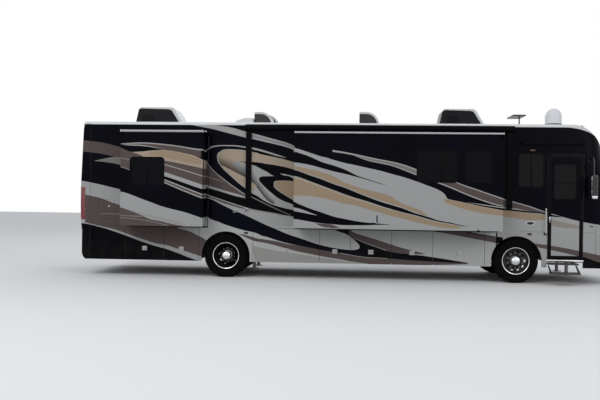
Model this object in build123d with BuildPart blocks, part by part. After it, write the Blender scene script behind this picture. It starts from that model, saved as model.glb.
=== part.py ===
from build123d import *
from math import asin, atan2, cos, degrees, hypot, radians, sin, sqrt, tan
import os

# A rear-engined motorhome on two axles, parked with its slide-out rooms out.
# Millimetres. +X points forward, +Y to the left, +Z up. The origin lies on the
# ground, in the middle of the length and width.

# Whole vehicle
overall_length = 11970
body_width = 2565
front_overhang = 2240
rear_overhang = 3330

front_x = overall_length / 2
rear_x = -overall_length / 2
half_width = body_width / 2
front_axle_x = front_x - front_overhang
rear_axle_x = rear_x + rear_overhang

# Body shell: heights, then radii
wall = 40
skirt_z = 360
nose_z = 1000
rear_upright_z = 2000
roof_z = 3500
roof_edge_z = 3475
roof_flat_half = 850
rear_lean = 58
brow_back = 1105
brow_radius = 845
brow_crease = 5
nose_bulge_radius = 8000
front_corner_radius = 450
rear_corner_radius = 120
rear_top_radius = 100
roof_edge_radius = 60
under_radius = 300
under_rise = 240

# Seams of the shell and the gaps round panels
rear_cap_length = 222
front_cap_length = 770
wall_top_z = 3410
seal_gap = 0.3
door_gap = 4
swing_gap = 6

# Wheels and tyres
tyre_diameter = 973
tyre_width = 255
bead_diameter = 571.5
rim_diameter = 597
rim_width = 210
track_half = 1115
dual_spacing = 330
arch_radius = 545
rear_well_radius = 600
front_well_radius = 620
well_notch = (160, 150)
well_sheet = 6
front_well_inner_y = 545
rear_well_inner_y = 600

axle_z = tyre_diameter / 2

# Frame rails, floor and luggage bays
rail_outer_y = 430
rail_width = 80
rail_height = 250
rail_sheet = 10
floor_z = 1165
floor_thick = 45
bay_top_z = 1110
pan_z = 392
pan_thick = 8
bulkhead = 16
bay_clearance = 8
tray_gap = 40

floor_under_z = floor_z - floor_thick
rail_under_z = floor_under_z - rail_height

# Luggage doors: a rear pair behind the rear axle, five more between the axles,
# which share that stretch in these parts, from the rear
rear_bay_gap = 608
rear_bay_widths = (794, 883)
mid_bay_gap_rear = 614
mid_bay_parts = (1490, 682, 906, 901, 1124)
mid_bay_gap_front = 683
hinge_leaf = (3, 110)
hinge_leaf_low = 90

# Slide-out rooms: out by slide_reach, fascia over the hole by slide_lap
slide_reach = 530
slide_lap = 25
slide_fascia = 25
slide_wall = 40
slide_depth = 790
slide_seal = 12
slide_floor_gap = 10
glide = (60, 200)
glide_inset = 180
rear_slide_gap = 423
rear_slide_length = 1828
front_slide_gap = 408
front_slide_length = 4435
slide_low_z = 1150
rear_slide_top_z = 3190
front_slide_top_z = 3180
topper_radius = 25
topper_z_above = 25

# Windows: X from each one's reference edge, sizes, height of the sill
glass = 6
window_radius = 60
rear_window = (226, 725, 2049, 583)
front_windows = ((2633, 828, 2185, 652), (3650, 542, 2185, 652))
cockpit_window = (31, 534, 2108, 714)
driver_window = (640, 700, 1930, 760)
bedroom_window = (226, 725, 2049, 583)

# Entry door, its steps and the well inside
door_back = 652
door_width = 763
door_low_z = 537
door_height = 2303
door_window = (136, 477, 1859, 744)
step_width = 600
step_depth = 240
step_tread = 32
step_drop = 190
step_low_z = 250
door_sill = 60
well_sheet_thick = 10
well_depth = 540
well_steps = 3


def block(x, y, z, mode=Mode.ADD):
    """A block between two places on each axis."""
    with Locations(((x[0] + x[1]) / 2, (y[0] + y[1]) / 2, (z[0] + z[1]) / 2)):
        Box(abs(x[1] - x[0]), abs(y[1] - y[0]), abs(z[1] - z[0]), mode=mode)


def panel(x, z, outer_y, thick, radius=0, mode=Mode.ADD):
    """A flat upright panel on the right side, from outer_y inwards, corners rounded."""
    with BuildSketch(Plane.XZ.offset(outer_y)) as outline:
        with Locations(((x[0] + x[1]) / 2, (z[0] + z[1]) / 2)):
            if radius:
                RectangleRounded(x[1] - x[0], z[1] - z[0], radius)
            else:
                Rectangle(x[1] - x[0], z[1] - z[0])
    extrude(outline.sketch, amount=-thick, mode=mode)


def rod(start, end, radius, mode=Mode.ADD):
    """A round bar between two points."""
    run = Vector(*end) - Vector(*start)
    with BuildSketch(Plane(origin=start, z_dir=run)) as end_face:
        Circle(radius)
    extrude(end_face.sketch, amount=run.length, mode=mode)


def save(node, name):
    """Label a finished piece and write its file."""
    node.part.label = name
    export_step(node.part, f"parts/{name}.step")


os.makedirs("parts", exist_ok=True)

# The nose leans back from nose_z along the tangent to the brow circle
brow_x = front_x - brow_back
brow_z = roof_z - brow_radius
lean = atan2(brow_back, brow_z - nose_z) - asin(brow_radius / hypot(brow_back, brow_z - nose_z))
brow_foot_z = brow_z + brow_radius * sin(lean)
brow_foot_x = brow_x + brow_radius * cos(lean)

corner_y = half_width - front_corner_radius
corner_reach = nose_bulge_radius - front_corner_radius
corner_turn = asin(corner_y / corner_reach)
corner_x = front_x - nose_bulge_radius + corner_reach * cos(corner_turn)


def nose_x(y, z):
    """Where the face of the nose and windshield lies at a height, out to the corners."""
    back = max(0, z - nose_z) * tan(lean)
    return front_x - back - nose_bulge_radius + sqrt(nose_bulge_radius**2 - y**2)


def plan_outline(inset):
    """The body from above at the nose: straight sides, round corners, a bulged face."""
    side_y = half_width - inset
    rear_turn_x = rear_x + rear_corner_radius
    turn = degrees(corner_turn)
    with BuildLine() as outline:
        right = Line((rear_turn_x, -side_y), (corner_x, -side_y))
        right_corner = JernArc(right @ 1, right % 1, front_corner_radius - inset, 90 - turn)
        face = JernArc(right_corner @ 1, right_corner % 1, nose_bulge_radius - inset, 2 * turn)
        left_corner = JernArc(face @ 1, face % 1, front_corner_radius - inset, 90 - turn)
        left = Line(left_corner @ 1, (rear_turn_x, side_y))
        rear_left = JernArc(left @ 1, left % 1, rear_corner_radius - inset, 90)
        rear = Line(rear_left @ 1, (rear_x + inset, -half_width + rear_corner_radius))
        JernArc(rear @ 1, rear % 1, rear_corner_radius - inset, 90)
    make_face(outline.edges())


def side_outline(inset):
    """The body from the side: tucked under at both ends, leaning in at the top of the rear."""
    under_z = skirt_z + under_rise
    turn = degrees(asin(under_rise / under_radius))
    top_z = roof_z - inset * cos(lean)
    with BuildLine() as outline:
        rear = CenterArc((rear_x + under_radius, under_z), under_radius - inset, 180, turn)
        front = CenterArc((front_x - under_radius, under_z), under_radius - inset, -turn, turn)
        if inset:
            below = under_radius + under_rise / 3
            rise = below * under_rise / under_radius
            reach = sqrt(below**2 - rise**2)
            Polyline(
                rear @ 1,
                (rear_x + under_radius - reach, under_z - rise),
                (front_x - under_radius + reach, under_z - rise),
                front @ 0,
            )
        else:
            Line(rear @ 1, front @ 0)
        Line(front @ 1, (front_x - inset, top_z))
        FilletPolyline(
            (front_x - inset, top_z),
            (rear_x + inset + rear_lean, top_z),
            (rear_x + inset, rear_upright_z),
            radius=rear_top_radius - inset,
        )
        Line((rear_x + inset, rear_upright_z), rear @ 0)
    make_face(outline.edges())


def cross_outline(inset):
    """The body from behind: upright walls, rounded roof edges and a roof with a low pitch."""
    drop = inset * cos(lean)
    with BuildLine() as outline:
        Polyline(
            (-half_width + inset, 0),
            (-half_width + inset, roof_edge_z - drop),
            (-roof_flat_half, roof_z - drop),
            (roof_flat_half, roof_z - drop),
            (half_width - inset, roof_edge_z - drop),
            (half_width - inset, 0),
            close=True,
        )
    make_face(outline.edges())


def wall_volume(inset):
    """The space inside the walls, nose and tail, drawn in by inset, as high as the roof."""
    low_z = skirt_z - (under_rise if inset else 0)
    rise = roof_z - nose_z
    with BuildPart() as volume:
        with BuildSketch(Plane.XY.offset(low_z)):
            plan_outline(inset)
        extrude(amount=nose_z - low_z)
        with BuildSketch(Plane.XY.offset(nose_z)):
            plan_outline(inset)
        extrude(amount=rise / cos(lean), dir=(-sin(lean), 0, cos(lean)))
        # The tail stays upright, so the leaning block is filled out behind
        with BuildSketch(Plane.XY.offset(nose_z)):
            with BuildLine():
                rear_turn_x = rear_x + rear_corner_radius
                side_y = half_width - inset
                across = Line((0, side_y), (0, -side_y))
                right = Line(across @ 1, (rear_turn_x, -side_y))
                rear_right = JernArc(right @ 1, right % 1, rear_corner_radius - inset, -90)
                rear = Line(rear_right @ 1, (rear_x + inset, half_width - rear_corner_radius))
                rear_left = JernArc(rear @ 1, rear % 1, rear_corner_radius - inset, -90)
                Line(rear_left @ 1, across @ 0)
            make_face()
        extrude(amount=rise)
    return volume.part


def body_volume(inset):
    """The space inside the body's outer skin, drawn in by inset on every side but below."""
    drop = inset * cos(lean)
    with BuildPart() as volume:
        add(wall_volume(inset))
        with BuildSketch(Plane.XZ):
            side_outline(inset)
        extrude(amount=body_width, both=True, mode=Mode.INTERSECT)
        with BuildSketch(Plane.YZ) as cross:
            cross_outline(inset)
            fillet(cross.vertices().group_by(Axis.Y)[1], roof_edge_radius - inset)
        extrude(amount=overall_length, both=True, mode=Mode.INTERSECT)
        axis_x = brow_foot_x - nose_bulge_radius
        radius = brow_radius + brow_crease - drop
        with BuildSketch(Plane.XZ):
            with BuildLine():
                foot = (brow_x + radius * cos(lean), brow_z + radius * sin(lean))
                crown = (brow_x, brow_z + radius)
                middle = (brow_x + radius * cos(radians(50)), brow_z + radius * sin(radians(50)))
                ThreePointArc(foot, middle, crown)
                Polyline(
                    crown,
                    (axis_x, brow_z + radius),
                    (axis_x, 0),
                    (front_x + wall, 0),
                    (front_x + wall, foot[1]),
                    foot,
                )
            make_face()
        revolve(axis=Axis((axis_x, 0, 0), (0, 0, 1)), mode=Mode.INTERSECT)
    return volume.part


skin = body_volume(0)
lining = body_volume(wall)
inside = body_volume(wall + 1)

# Places along the vehicle
wall_rear_x = rear_x + rear_cap_length
wall_front_x = front_x - front_cap_length
arch_x = (rear_axle_x, front_axle_x)
front_slide_x = (
    front_axle_x - front_slide_gap - front_slide_length,
    front_axle_x - front_slide_gap,
)
rear_slide_x = (
    rear_axle_x - rear_slide_gap - rear_slide_length,
    rear_axle_x - rear_slide_gap,
)
door_x = (front_axle_x + door_back, front_axle_x + door_back + door_width)
door_z = (door_low_z, door_low_z + door_height)
far = 2 * body_width

bay_doors = []
bay_edge = rear_axle_x - rear_bay_gap
for width in rear_bay_widths:
    bay_doors.append((bay_edge - width, bay_edge))
    bay_edge -= width
rear_bay_x = (bay_edge, rear_axle_x - rear_bay_gap)
mid_bay_x = (rear_axle_x + mid_bay_gap_rear, front_axle_x - mid_bay_gap_front)
bay_edge = mid_bay_x[0]
for part in mid_bay_parts:
    width = (mid_bay_x[1] - mid_bay_x[0]) * part / sum(mid_bay_parts)
    bay_doors.append((bay_edge, bay_edge + width))
    bay_edge += width
left_bay_doors = [bay_doors[2], (bay_doors[3][0], bay_doors[4][1]), bay_doors[5], bay_doors[6]]


def placed(window, reference):
    """A window's span along X and Z from its row of four values and a reference edge."""
    x = reference + window[0]
    return (x, x + window[1]), (window[2], window[2] + window[3])


rear_window_at = placed(rear_window, rear_slide_x[0])
front_windows_at = [placed(row, front_slide_x[0]) for row in front_windows]
cockpit_window_at = placed(cockpit_window, front_axle_x)
driver_window_at = placed(driver_window, front_axle_x)
bedroom_window_at = placed(bedroom_window, rear_slide_x[0])
door_window_at = placed(door_window, door_x[0])


def slide_hole(x, top_z):
    """The hole in the wall for a slide-out room, under its fascia's lap."""
    return (x[0] + slide_lap, x[1] - slide_lap), (floor_z, top_z - slide_lap)


# Side walls with their openings
with BuildPart() as shell:
    add(skin)
    add(lining, mode=Mode.SUBTRACT)

wall_inner_y = half_width - wall

with BuildPart() as right_side_wall:
    add(shell.part)
    block((wall_rear_x, wall_front_x), (-far, -wall_inner_y + wall), (0, wall_top_z), mode=Mode.INTERSECT)
    for x in (rear_bay_x, mid_bay_x):
        panel((x[0] - door_gap, x[1] + door_gap), (0, bay_top_z + 2 * door_gap), far, far, mode=Mode.SUBTRACT)
    for x in arch_x:
        rod((x, 0, axle_z), (x, -far, axle_z), arch_radius, mode=Mode.SUBTRACT)
        panel((x - arch_radius, x + arch_radius), (0, axle_z), far, far, mode=Mode.SUBTRACT)
    hole_x, hole_z = slide_hole(rear_slide_x, rear_slide_top_z)
    panel(hole_x, hole_z, far, far, mode=Mode.SUBTRACT)
    hole_x, hole_z = slide_hole(front_slide_x, front_slide_top_z)
    panel(hole_x, hole_z, far, far, mode=Mode.SUBTRACT)
    panel(*cockpit_window_at, far, far, window_radius, mode=Mode.SUBTRACT)
    panel(
        (door_x[0] - swing_gap, door_x[1] + swing_gap),
        (door_z[0] - swing_gap, door_z[1] + swing_gap),
        far,
        far,
        mode=Mode.SUBTRACT,
    )
    panel(
        (door_x[0] - swing_gap, door_x[1] + swing_gap),
        (0, door_low_z - door_sill),
        far,
        far,
        mode=Mode.SUBTRACT,
    )
    leaf_x = (door_x[1] + seal_gap, door_x[1] + swing_gap)
    leaf_y = (-half_width + hinge_leaf[0], -wall_inner_y)
    for z in (door_z[0] + 4 * hinge_leaf_low, door_z[1] - 4 * hinge_leaf_low):
        block(leaf_x, leaf_y, (z, z + hinge_leaf[1]))

with BuildPart() as left_side_wall:
    add(shell.part)
    block((wall_rear_x, wall_front_x), (wall_inner_y - wall, far), (0, wall_top_z), mode=Mode.INTERSECT)
    hole = (mid_bay_x[0] - door_gap, mid_bay_x[1] + door_gap)
    block(hole, (0, far), (0, bay_top_z + 2 * door_gap), mode=Mode.SUBTRACT)
    for x in arch_x:
        rod((x, 0, axle_z), (x, far, axle_z), arch_radius, mode=Mode.SUBTRACT)
        block((x - arch_radius, x + arch_radius), (0, far), (0, axle_z), mode=Mode.SUBTRACT)
    hole_x, hole_z = slide_hole(front_slide_x, front_slide_top_z)
    block(hole_x, (0, far), hole_z, mode=Mode.SUBTRACT)
    panel(*driver_window_at, -far, -far, window_radius, mode=Mode.SUBTRACT)
    panel(*bedroom_window_at, -far, -far, window_radius, mode=Mode.SUBTRACT)

# Panes of the fixed side windows, halfway through the wall
pane_y = half_width - (wall - glass) / 2


def grown(at, amount):
    """A window's span drawn in or out by an amount on every side."""
    return (at[0][0] - amount, at[0][1] + amount), (at[1][0] - amount, at[1][1] + amount)


with BuildPart() as side_windows:
    panel(*grown(cockpit_window_at, -seal_gap), pane_y, glass, window_radius)
    for at in (driver_window_at, bedroom_window_at):
        panel(*grown(at, -seal_gap), -pane_y, -glass, window_radius)

# Roof: all of the shell above the walls, between the end caps
with BuildPart() as roof:
    add(shell.part)
    block((wall_rear_x, wall_front_x), (-far, far), (floor_z, roof_z + wall), mode=Mode.INTERSECT)
    for side in (-1, 1):
        edge_y = side * (wall_inner_y - wall)
        block((rear_x, front_x), (edge_y, side * far), (0, wall_top_z), mode=Mode.SUBTRACT)

# Front cap with the windshield's opening, lamp pockets and cooling slot
windshield_half = 1160
windshield_z = (1490, 2760)
windshield_corner = 140
windshield_glass = 10
headlamp_y = (830, 1258)
headlamp_z = (910, 1150)
lamp_corner = 50
fog_corner = 40
fog_y = (800, 960)
fog_z = (610, 710)
grille_half = 420
grille_z = (730, 850)
grille_bars = 4


def nose_prism(y, z, corner, grow=0):
    """A block through the nose along X, its corners rounded, drawn out by grow."""
    with BuildSketch(Plane.YZ.offset(wall_front_x)) as outline:
        with Locations(((y[0] + y[1]) / 2, (z[0] + z[1]) / 2)):
            RectangleRounded(abs(y[1] - y[0]) + 2 * grow, z[1] - z[0] + 2 * grow, corner)
    extrude(outline.sketch, amount=front_cap_length + wall)


windshield_back = wall_volume(windshield_glass)

with BuildPart() as windshield_hole:
    nose_prism((-windshield_half, windshield_half), windshield_z, windshield_corner)

with BuildPart() as right_lamp_holes:
    nose_prism([-y for y in headlamp_y], headlamp_z, lamp_corner, seal_gap)
    nose_prism([-y for y in fog_y], fog_z, fog_corner, seal_gap)

with BuildPart() as front_cap:
    add(shell.part)
    block((wall_front_x, front_x + wall), (-far, 0), (0, roof_z + wall), mode=Mode.INTERSECT)
    add(windshield_hole.part, mode=Mode.SUBTRACT)
    add(right_lamp_holes.part, mode=Mode.SUBTRACT)
    bar = (grille_z[1] - grille_z[0]) / (2 * grille_bars - 1)
    for k in range(grille_bars):
        slot_z = grille_z[0] + 2 * k * bar
        slot = (slot_z, slot_z + bar)
        block((wall_front_x, front_x + wall), (-grille_half, grille_half), slot, mode=Mode.SUBTRACT)
    mirror(front_cap.part, about=Plane.XZ)

with BuildPart() as windshield:
    nose_prism((-windshield_half, windshield_half), windshield_z, windshield_corner, -seal_gap)
    add(skin, mode=Mode.INTERSECT)
    add(windshield_back, mode=Mode.SUBTRACT)

with BuildPart() as headlamps:
    nose_prism([-y for y in headlamp_y], headlamp_z, lamp_corner)
    nose_prism([-y for y in fog_y], fog_z, fog_corner)
    add(shell.part, mode=Mode.INTERSECT)
    mirror(headlamps.part, about=Plane.XZ)

# Rear cap with its tail lamps, the engine door and a notch for the hitch
receiver_outer = 63.5
receiver_inner = 50.8
receiver_length = 300
receiver_z = 370
receiver_notch = 25
tail_lamp_x = 105
tail_lamp_y = 112
tail_lamp_z = (1160, 1984)
marker_y = (620, 760)
marker_z = (3290, 3340)
engine_door_half = 640
engine_door_z = (640, 1360)
engine_door_thick = 30
louvre_half = 480
louvre_z = (800, 1240)
louvres = 8


def tail_prisms(grow=0):
    """The blocks that cut out the tail lamps at both corners."""
    for side in (-1, 1):
        block(
            (rear_x - wall, rear_x + tail_lamp_x + grow),
            (side * (half_width - tail_lamp_y - grow), side * (half_width + wall)),
            (tail_lamp_z[0] - grow, tail_lamp_z[1] + grow),
        )


with BuildPart() as tail_holes:
    tail_prisms(seal_gap)

with BuildPart() as rear_cap:
    add(shell.part)
    block((rear_x - wall, wall_rear_x), (-far, far), (0, roof_z + wall), mode=Mode.INTERSECT)
    add(tail_holes.part, mode=Mode.SUBTRACT)
    block(
        (rear_x - wall, wall_rear_x),
        (-engine_door_half - swing_gap, engine_door_half + swing_gap),
        (engine_door_z[0] - swing_gap, engine_door_z[1] + swing_gap),
        mode=Mode.SUBTRACT,
    )
    for side in (-1, 1):
        leaf_y = (side * louvre_half, side * (louvre_half + hinge_leaf[1]))
        leaf_z = (engine_door_z[1] + seal_gap, engine_door_z[1] + swing_gap)
        block((rear_x + hinge_leaf[0], rear_x + engine_door_thick), leaf_y, leaf_z)
    notch = receiver_outer / 2 + receiver_notch
    block((rear_x - wall, wall_rear_x), (-notch, notch), (0, receiver_z + notch), mode=Mode.SUBTRACT)

with BuildPart() as tail_lamps:
    tail_prisms()
    add(shell.part, mode=Mode.INTERSECT)

with BuildPart() as engine_door:
    block((rear_x, rear_x + engine_door_thick), (-engine_door_half, engine_door_half), engine_door_z)
    slot = (louvre_z[1] - louvre_z[0]) / (2 * louvres - 1)
    for k in range(louvres):
        low = louvre_z[0] + 2 * k * slot
        with BuildSketch(Plane.XZ) as outline:
            with BuildLine():
                Polyline(
                    (rear_x, low),
                    (rear_x + engine_door_thick, low + slot / 2),
                    (rear_x + engine_door_thick, low + 3 * slot / 2),
                    (rear_x, low + slot),
                    close=True,
                )
            make_face()
        extrude(amount=louvre_half, both=True, mode=Mode.SUBTRACT)

# House floor with the entry well and the housing that its outer step slides into
step_x = (door_x[0] + 2, door_x[0] + 2 + step_width)
step_upper_z = step_low_z + step_drop
step_side_gap = 8
housing_depth = 340
well_x = (door_x[0] - swing_gap, door_x[1] + swing_gap)
well_inner_y = wall_inner_y - well_depth
well_rise = (floor_z - door_low_z) / (well_steps + 0.5)
well_run = well_depth / well_steps

with BuildPart() as house_floor:
    block((rear_x, front_x), (-far, far), (floor_under_z, floor_z))
    add(inside, mode=Mode.INTERSECT)
    block(
        (well_x[0] - well_sheet_thick, well_x[1] + well_sheet_thick),
        (-far, -well_inner_y),
        (floor_under_z, floor_z),
        mode=Mode.SUBTRACT,
    )
    sheet = well_sheet_thick
    low_z = door_low_z - swing_gap - 3 * sheet
    for x in (well_x[0] - sheet, well_x[1]):
        block((x, x + sheet), (-wall_inner_y + 1, -well_inner_y), (low_z, floor_z))
    for k in range(well_steps):
        top = door_low_z - swing_gap + k * well_rise
        outer_y = -wall_inner_y + 1 + k * well_run
        inner_y = -wall_inner_y + 1 + (k + 1) * well_run
        if k == well_steps - 1:
            inner_y = -well_inner_y
        block((well_x[0], well_x[1]), (outer_y, inner_y), (top - sheet, top))
        riser_top = floor_z if k == well_steps - 1 else top + well_rise
        block((well_x[0], well_x[1]), (inner_y - sheet, inner_y), (top - sheet, riser_top))
    housing_y = (-wall_inner_y + 1, -wall_inner_y + 1 + housing_depth)
    housing_x = (step_x[0] - step_side_gap - sheet, step_x[1] + step_side_gap + sheet)
    block((well_x[0] - sheet, housing_x[1]), housing_y, (low_z - sheet, low_z))
    for x in (housing_x[0], housing_x[1] - sheet):
        block((x, x + sheet), housing_y, (step_upper_z - sheet, low_z))
    # Wear strips that the slide-out rooms glide on
    for room, side in ((rear_slide_x, -1), (front_slide_x, -1), (front_slide_x, 1)):
        for x in (room[0] + glide_inset, (room[0] + room[1]) / 2, room[1] - glide_inset):
            glide_y = (side * (wall_inner_y - 1), side * (wall_inner_y - glide[1]))
            block((x - glide[0] / 2, x + glide[0] / 2), glide_y, (floor_z, floor_z + slide_floor_gap - seal_gap))

# Wheel wells: a half drum of sheet over each wheel, closed on its inner side
wells = (
    (rear_axle_x, rear_well_inner_y, rear_well_radius),
    (front_axle_x, front_well_inner_y, front_well_radius),
)

with BuildPart() as wheel_wells:
    for x, inner_y, radius in wells:
        for side in (-1, 1):
            inner = (x, side * inner_y, axle_z)
            rod(inner, (x, side * wall_inner_y, axle_z), radius)
            inner = (x, side * (inner_y + well_sheet), axle_z)
            rod(inner, (x, side * wall_inner_y, axle_z), radius - well_sheet, mode=Mode.SUBTRACT)
        notch = (x - well_notch[0], x + well_notch[0])
        block(notch, (-far, far), (0, axle_z + well_notch[1]), mode=Mode.SUBTRACT)
    block((rear_x, front_x), (-far, far), (-axle_z, axle_z), mode=Mode.SUBTRACT)

# Frame: two channel rails on cross-members, with the hitch tube at the tail
rail_x = (rear_x + 260, front_x - 330)
rail_inner_y = rail_outer_y - rail_width
cross_members_rear = (160, 1800, 2700, 4250)
cross_members_front = (5330, 3480, 1680, 230)
cross_width = 60
cross_drop = 40

with BuildPart() as chassis_frame:
    for side in (-1, 1):
        y = (side * rail_inner_y, side * rail_outer_y)
        block(rail_x, y, (rail_under_z, floor_under_z))
        block(
            rail_x,
            (side * rail_inner_y, side * (rail_outer_y - rail_sheet)),
            (rail_under_z + rail_sheet, floor_under_z - rail_sheet),
            mode=Mode.SUBTRACT,
        )
    cross_places = [rail_x[0] + place for place in cross_members_rear]
    cross_places += [rail_x[1] - place for place in cross_members_front]
    for x in cross_places:
        web_y = rail_outer_y - rail_sheet
        block(
            (x, x + cross_width),
            (-web_y, web_y),
            (rail_under_z + cross_drop, floor_under_z - cross_drop),
        )

# Luggage bays: a pan under the bays between the axles, a tray on each side behind
# the rear axle, and the bulkheads that hang from the floor. Hinge leaves reach out
# of the bulkheads between the doors.
bay_half = wall_inner_y - bay_clearance
tray_inner_y = rail_outer_y + tray_gap
rear_bulkheads = [bay_doors[1][0], bay_doors[1][1], bay_doors[0][1]]
mid_bulkheads = [door[0] for door in bay_doors[2:]] + [bay_doors[-1][1]]


def bulkhead_sheet(place, span, y):
    """A bulkhead on a seam of the doors, kept inside the span of its bays."""
    middle = min(max(place, span[0] + bulkhead / 2), span[1] - bulkhead / 2)
    block((middle - bulkhead / 2, middle + bulkhead / 2), y, (pan_z + seal_gap, floor_under_z))


with BuildPart() as luggage_bays:
    block(mid_bay_x, (-bay_half, bay_half), (pan_z - pan_thick, pan_z))
    for x in mid_bulkheads:
        bulkhead_sheet(x, mid_bay_x, (-bay_half, bay_half))
    block(
        mid_bay_x,
        (-rail_outer_y, rail_outer_y),
        (rail_under_z, floor_under_z),
        mode=Mode.SUBTRACT,
    )
    for side in (-1, 1):
        block(rear_bay_x, (side * tray_inner_y, side * bay_half), (pan_z - pan_thick, pan_z))
        sheet_y = (side * tray_inner_y, side * (tray_inner_y + pan_thick))
        block(rear_bay_x, sheet_y, (pan_z + seal_gap, floor_under_z))
        for x in rear_bulkheads:
            bulkhead_sheet(x, rear_bay_x, (sheet_y[1] + side * seal_gap, side * bay_half))
    for doors, side in ((bay_doors, -1), (left_bay_doors, 1)):
        for _, edge in doors:
            leaf_x = (edge - door_gap + seal_gap, edge - door_gap + seal_gap + hinge_leaf[0])
            leaf_y = (side * bay_half, side * (half_width - hinge_leaf[0]))
            for z in (skirt_z + hinge_leaf_low, bay_top_z - hinge_leaf_low - hinge_leaf[1]):
                block(leaf_x, leaf_y, (z, z + hinge_leaf[1]))

# Slide-out rooms
slide_outer_y = half_width + slide_reach


def slide_room(x, top_z, windows):
    """A room open on its inner side, with a lapped outer wall and an awning roller on it."""
    hole_x, hole_z = slide_hole(x, top_z)
    room_x = (hole_x[0] + slide_seal, hole_x[1] - slide_seal)
    room_z = (hole_z[0] + slide_floor_gap, hole_z[1] - slide_seal)
    inner_y = slide_outer_y - slide_depth
    with BuildPart() as room:
        block(room_x, (-slide_outer_y, -inner_y), room_z)
        block(
            (room_x[0] + slide_wall, room_x[1] - slide_wall),
            (-slide_outer_y + slide_wall, -inner_y),
            (room_z[0] + slide_wall, room_z[1] - slide_wall),
            mode=Mode.SUBTRACT,
        )
        panel(x, (slide_low_z, top_z), slide_outer_y, slide_fascia)
        for at in windows:
            panel(*at, slide_outer_y, slide_wall, window_radius, mode=Mode.SUBTRACT)
        roller_y = -slide_outer_y - topper_radius - 5
        roller_z = top_z + topper_z_above
        rod((x[0], roller_y, roller_z), (x[1], roller_y, roller_z), topper_radius)
        for edge in (x[0], x[1] - slide_lap):
            block(
                (edge, edge + slide_lap),
                (-slide_outer_y, roller_y - topper_radius - 3),
                (top_z - 2 * slide_lap, roller_z + topper_radius + 3),
            )
    return room.part


def slide_panes(windows):
    """The panes of a slide-out's windows."""
    outer_y = slide_outer_y - (slide_wall - glass) / 2
    with BuildPart() as panes:
        for at in windows:
            panel(*grown(at, -seal_gap), outer_y, glass, window_radius)
    return panes.part


with BuildPart() as rear_slide:
    add(slide_room(rear_slide_x, rear_slide_top_z, [rear_window_at]))
with BuildPart() as rear_slide_window:
    add(slide_panes([rear_window_at]))
with BuildPart() as front_slide:
    add(slide_room(front_slide_x, front_slide_top_z, front_windows_at))
with BuildPart() as front_slide_windows:
    add(slide_panes(front_windows_at))
with BuildPart() as left_slide:
    mirror(front_slide.part, about=Plane.XZ)
with BuildPart() as left_slide_windows:
    mirror(front_slide_windows.part, about=Plane.XZ)

# Luggage doors
latch = (110, 46, 12)
latch_back = 0.5
latch_low = 265


def bay_door(x, side):
    """A flat luggage door as thick as the wall, with a latch pocket near its lower edge."""
    with BuildPart() as door:
        panel((x[0] + door_gap, x[1] - door_gap), (skirt_z, bay_top_z), half_width, wall)
        middle = x[0] + latch_back * (x[1] - x[0])
        block(
            (middle - latch[0] / 2, middle + latch[0] / 2),
            (-half_width, -half_width + latch[2]),
            (skirt_z + latch_low - latch[1] / 2, skirt_z + latch_low + latch[1] / 2),
            mode=Mode.SUBTRACT,
        )
    return door.part if side < 0 else mirror(door.part, about=Plane.XZ)


# Entry door: hinged at its front edge
with BuildPart() as entry_door:
    panel(door_x, door_z, half_width, wall)
    panel(*door_window_at, half_width, wall, window_radius, mode=Mode.SUBTRACT)
    handle_z = 1330
    panel((door_x[0] + 20, door_x[0] + 80), (handle_z, handle_z + 160), half_width, latch[2], 8, mode=Mode.SUBTRACT)

with BuildPart() as entry_door_window:
    panel(*grown(door_window_at, -seal_gap), pane_y, glass, window_radius)

# Entry step: two treads on sloped arms, which slide in under the well
with BuildPart() as entry_step:
    arm = 12
    upper_y = (-half_width - 15, -half_width - 15 - step_depth)
    lower_y = (upper_y[0] - 150, upper_y[1] - 150)
    rear_y = -half_width + 320
    block(step_x, upper_y, (step_upper_z, step_upper_z + step_tread))
    block(step_x, lower_y, (step_low_z, step_low_z + step_tread))
    for x in (step_x[0], step_x[1] - arm):
        block((x, x + arm), (rear_y, upper_y[1]), (step_upper_z, step_upper_z + step_tread))
        with BuildSketch(Plane.YZ.offset(x)) as outline:
            with BuildLine():
                Polyline(
                    (upper_y[0], step_upper_z + 2),
                    (upper_y[0] - 60, step_upper_z + 2),
                    (lower_y[1] + 20, step_low_z + step_tread - 2),
                    (lower_y[0] - 60, step_low_z + step_tread - 2),
                    close=True,
                )
            make_face()
        extrude(amount=arm)

# Wheels: a disc in a rim, two of them back to back at the rear
seat_radius = bead_diameter / 2
flange_radius = rim_diameter / 2
tyre_clearance = 0.5
rim_sheet = 16
hub_radius = 130
hub_bore = 46
spindle_radius = 44
disc_holes = 10
disc_hole_radius = 28
disc_hole_ring = 200
front_disc_out = 45
hub_cap_radius = 95
hub_cap_out = 62
hub_inner_y = 700
front_hub_back = 10
front_bore_out = 20
rear_hub_out = 40
rear_bore_out = 60
rear_cap_out = 230
disc_foot = (30, 24)
tyre_shoulder = (8, 33)
tyre_shoulder_drop = 0.16
tyre_bulge = 0.48


def wheel_plane(x, y):
    """Upright plane across a wheel's axle, its own X along the vehicle's Y."""
    return Plane(origin=(x, y, axle_z), x_dir=(0, 1, 0), z_dir=(1, 0, 0))


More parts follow.
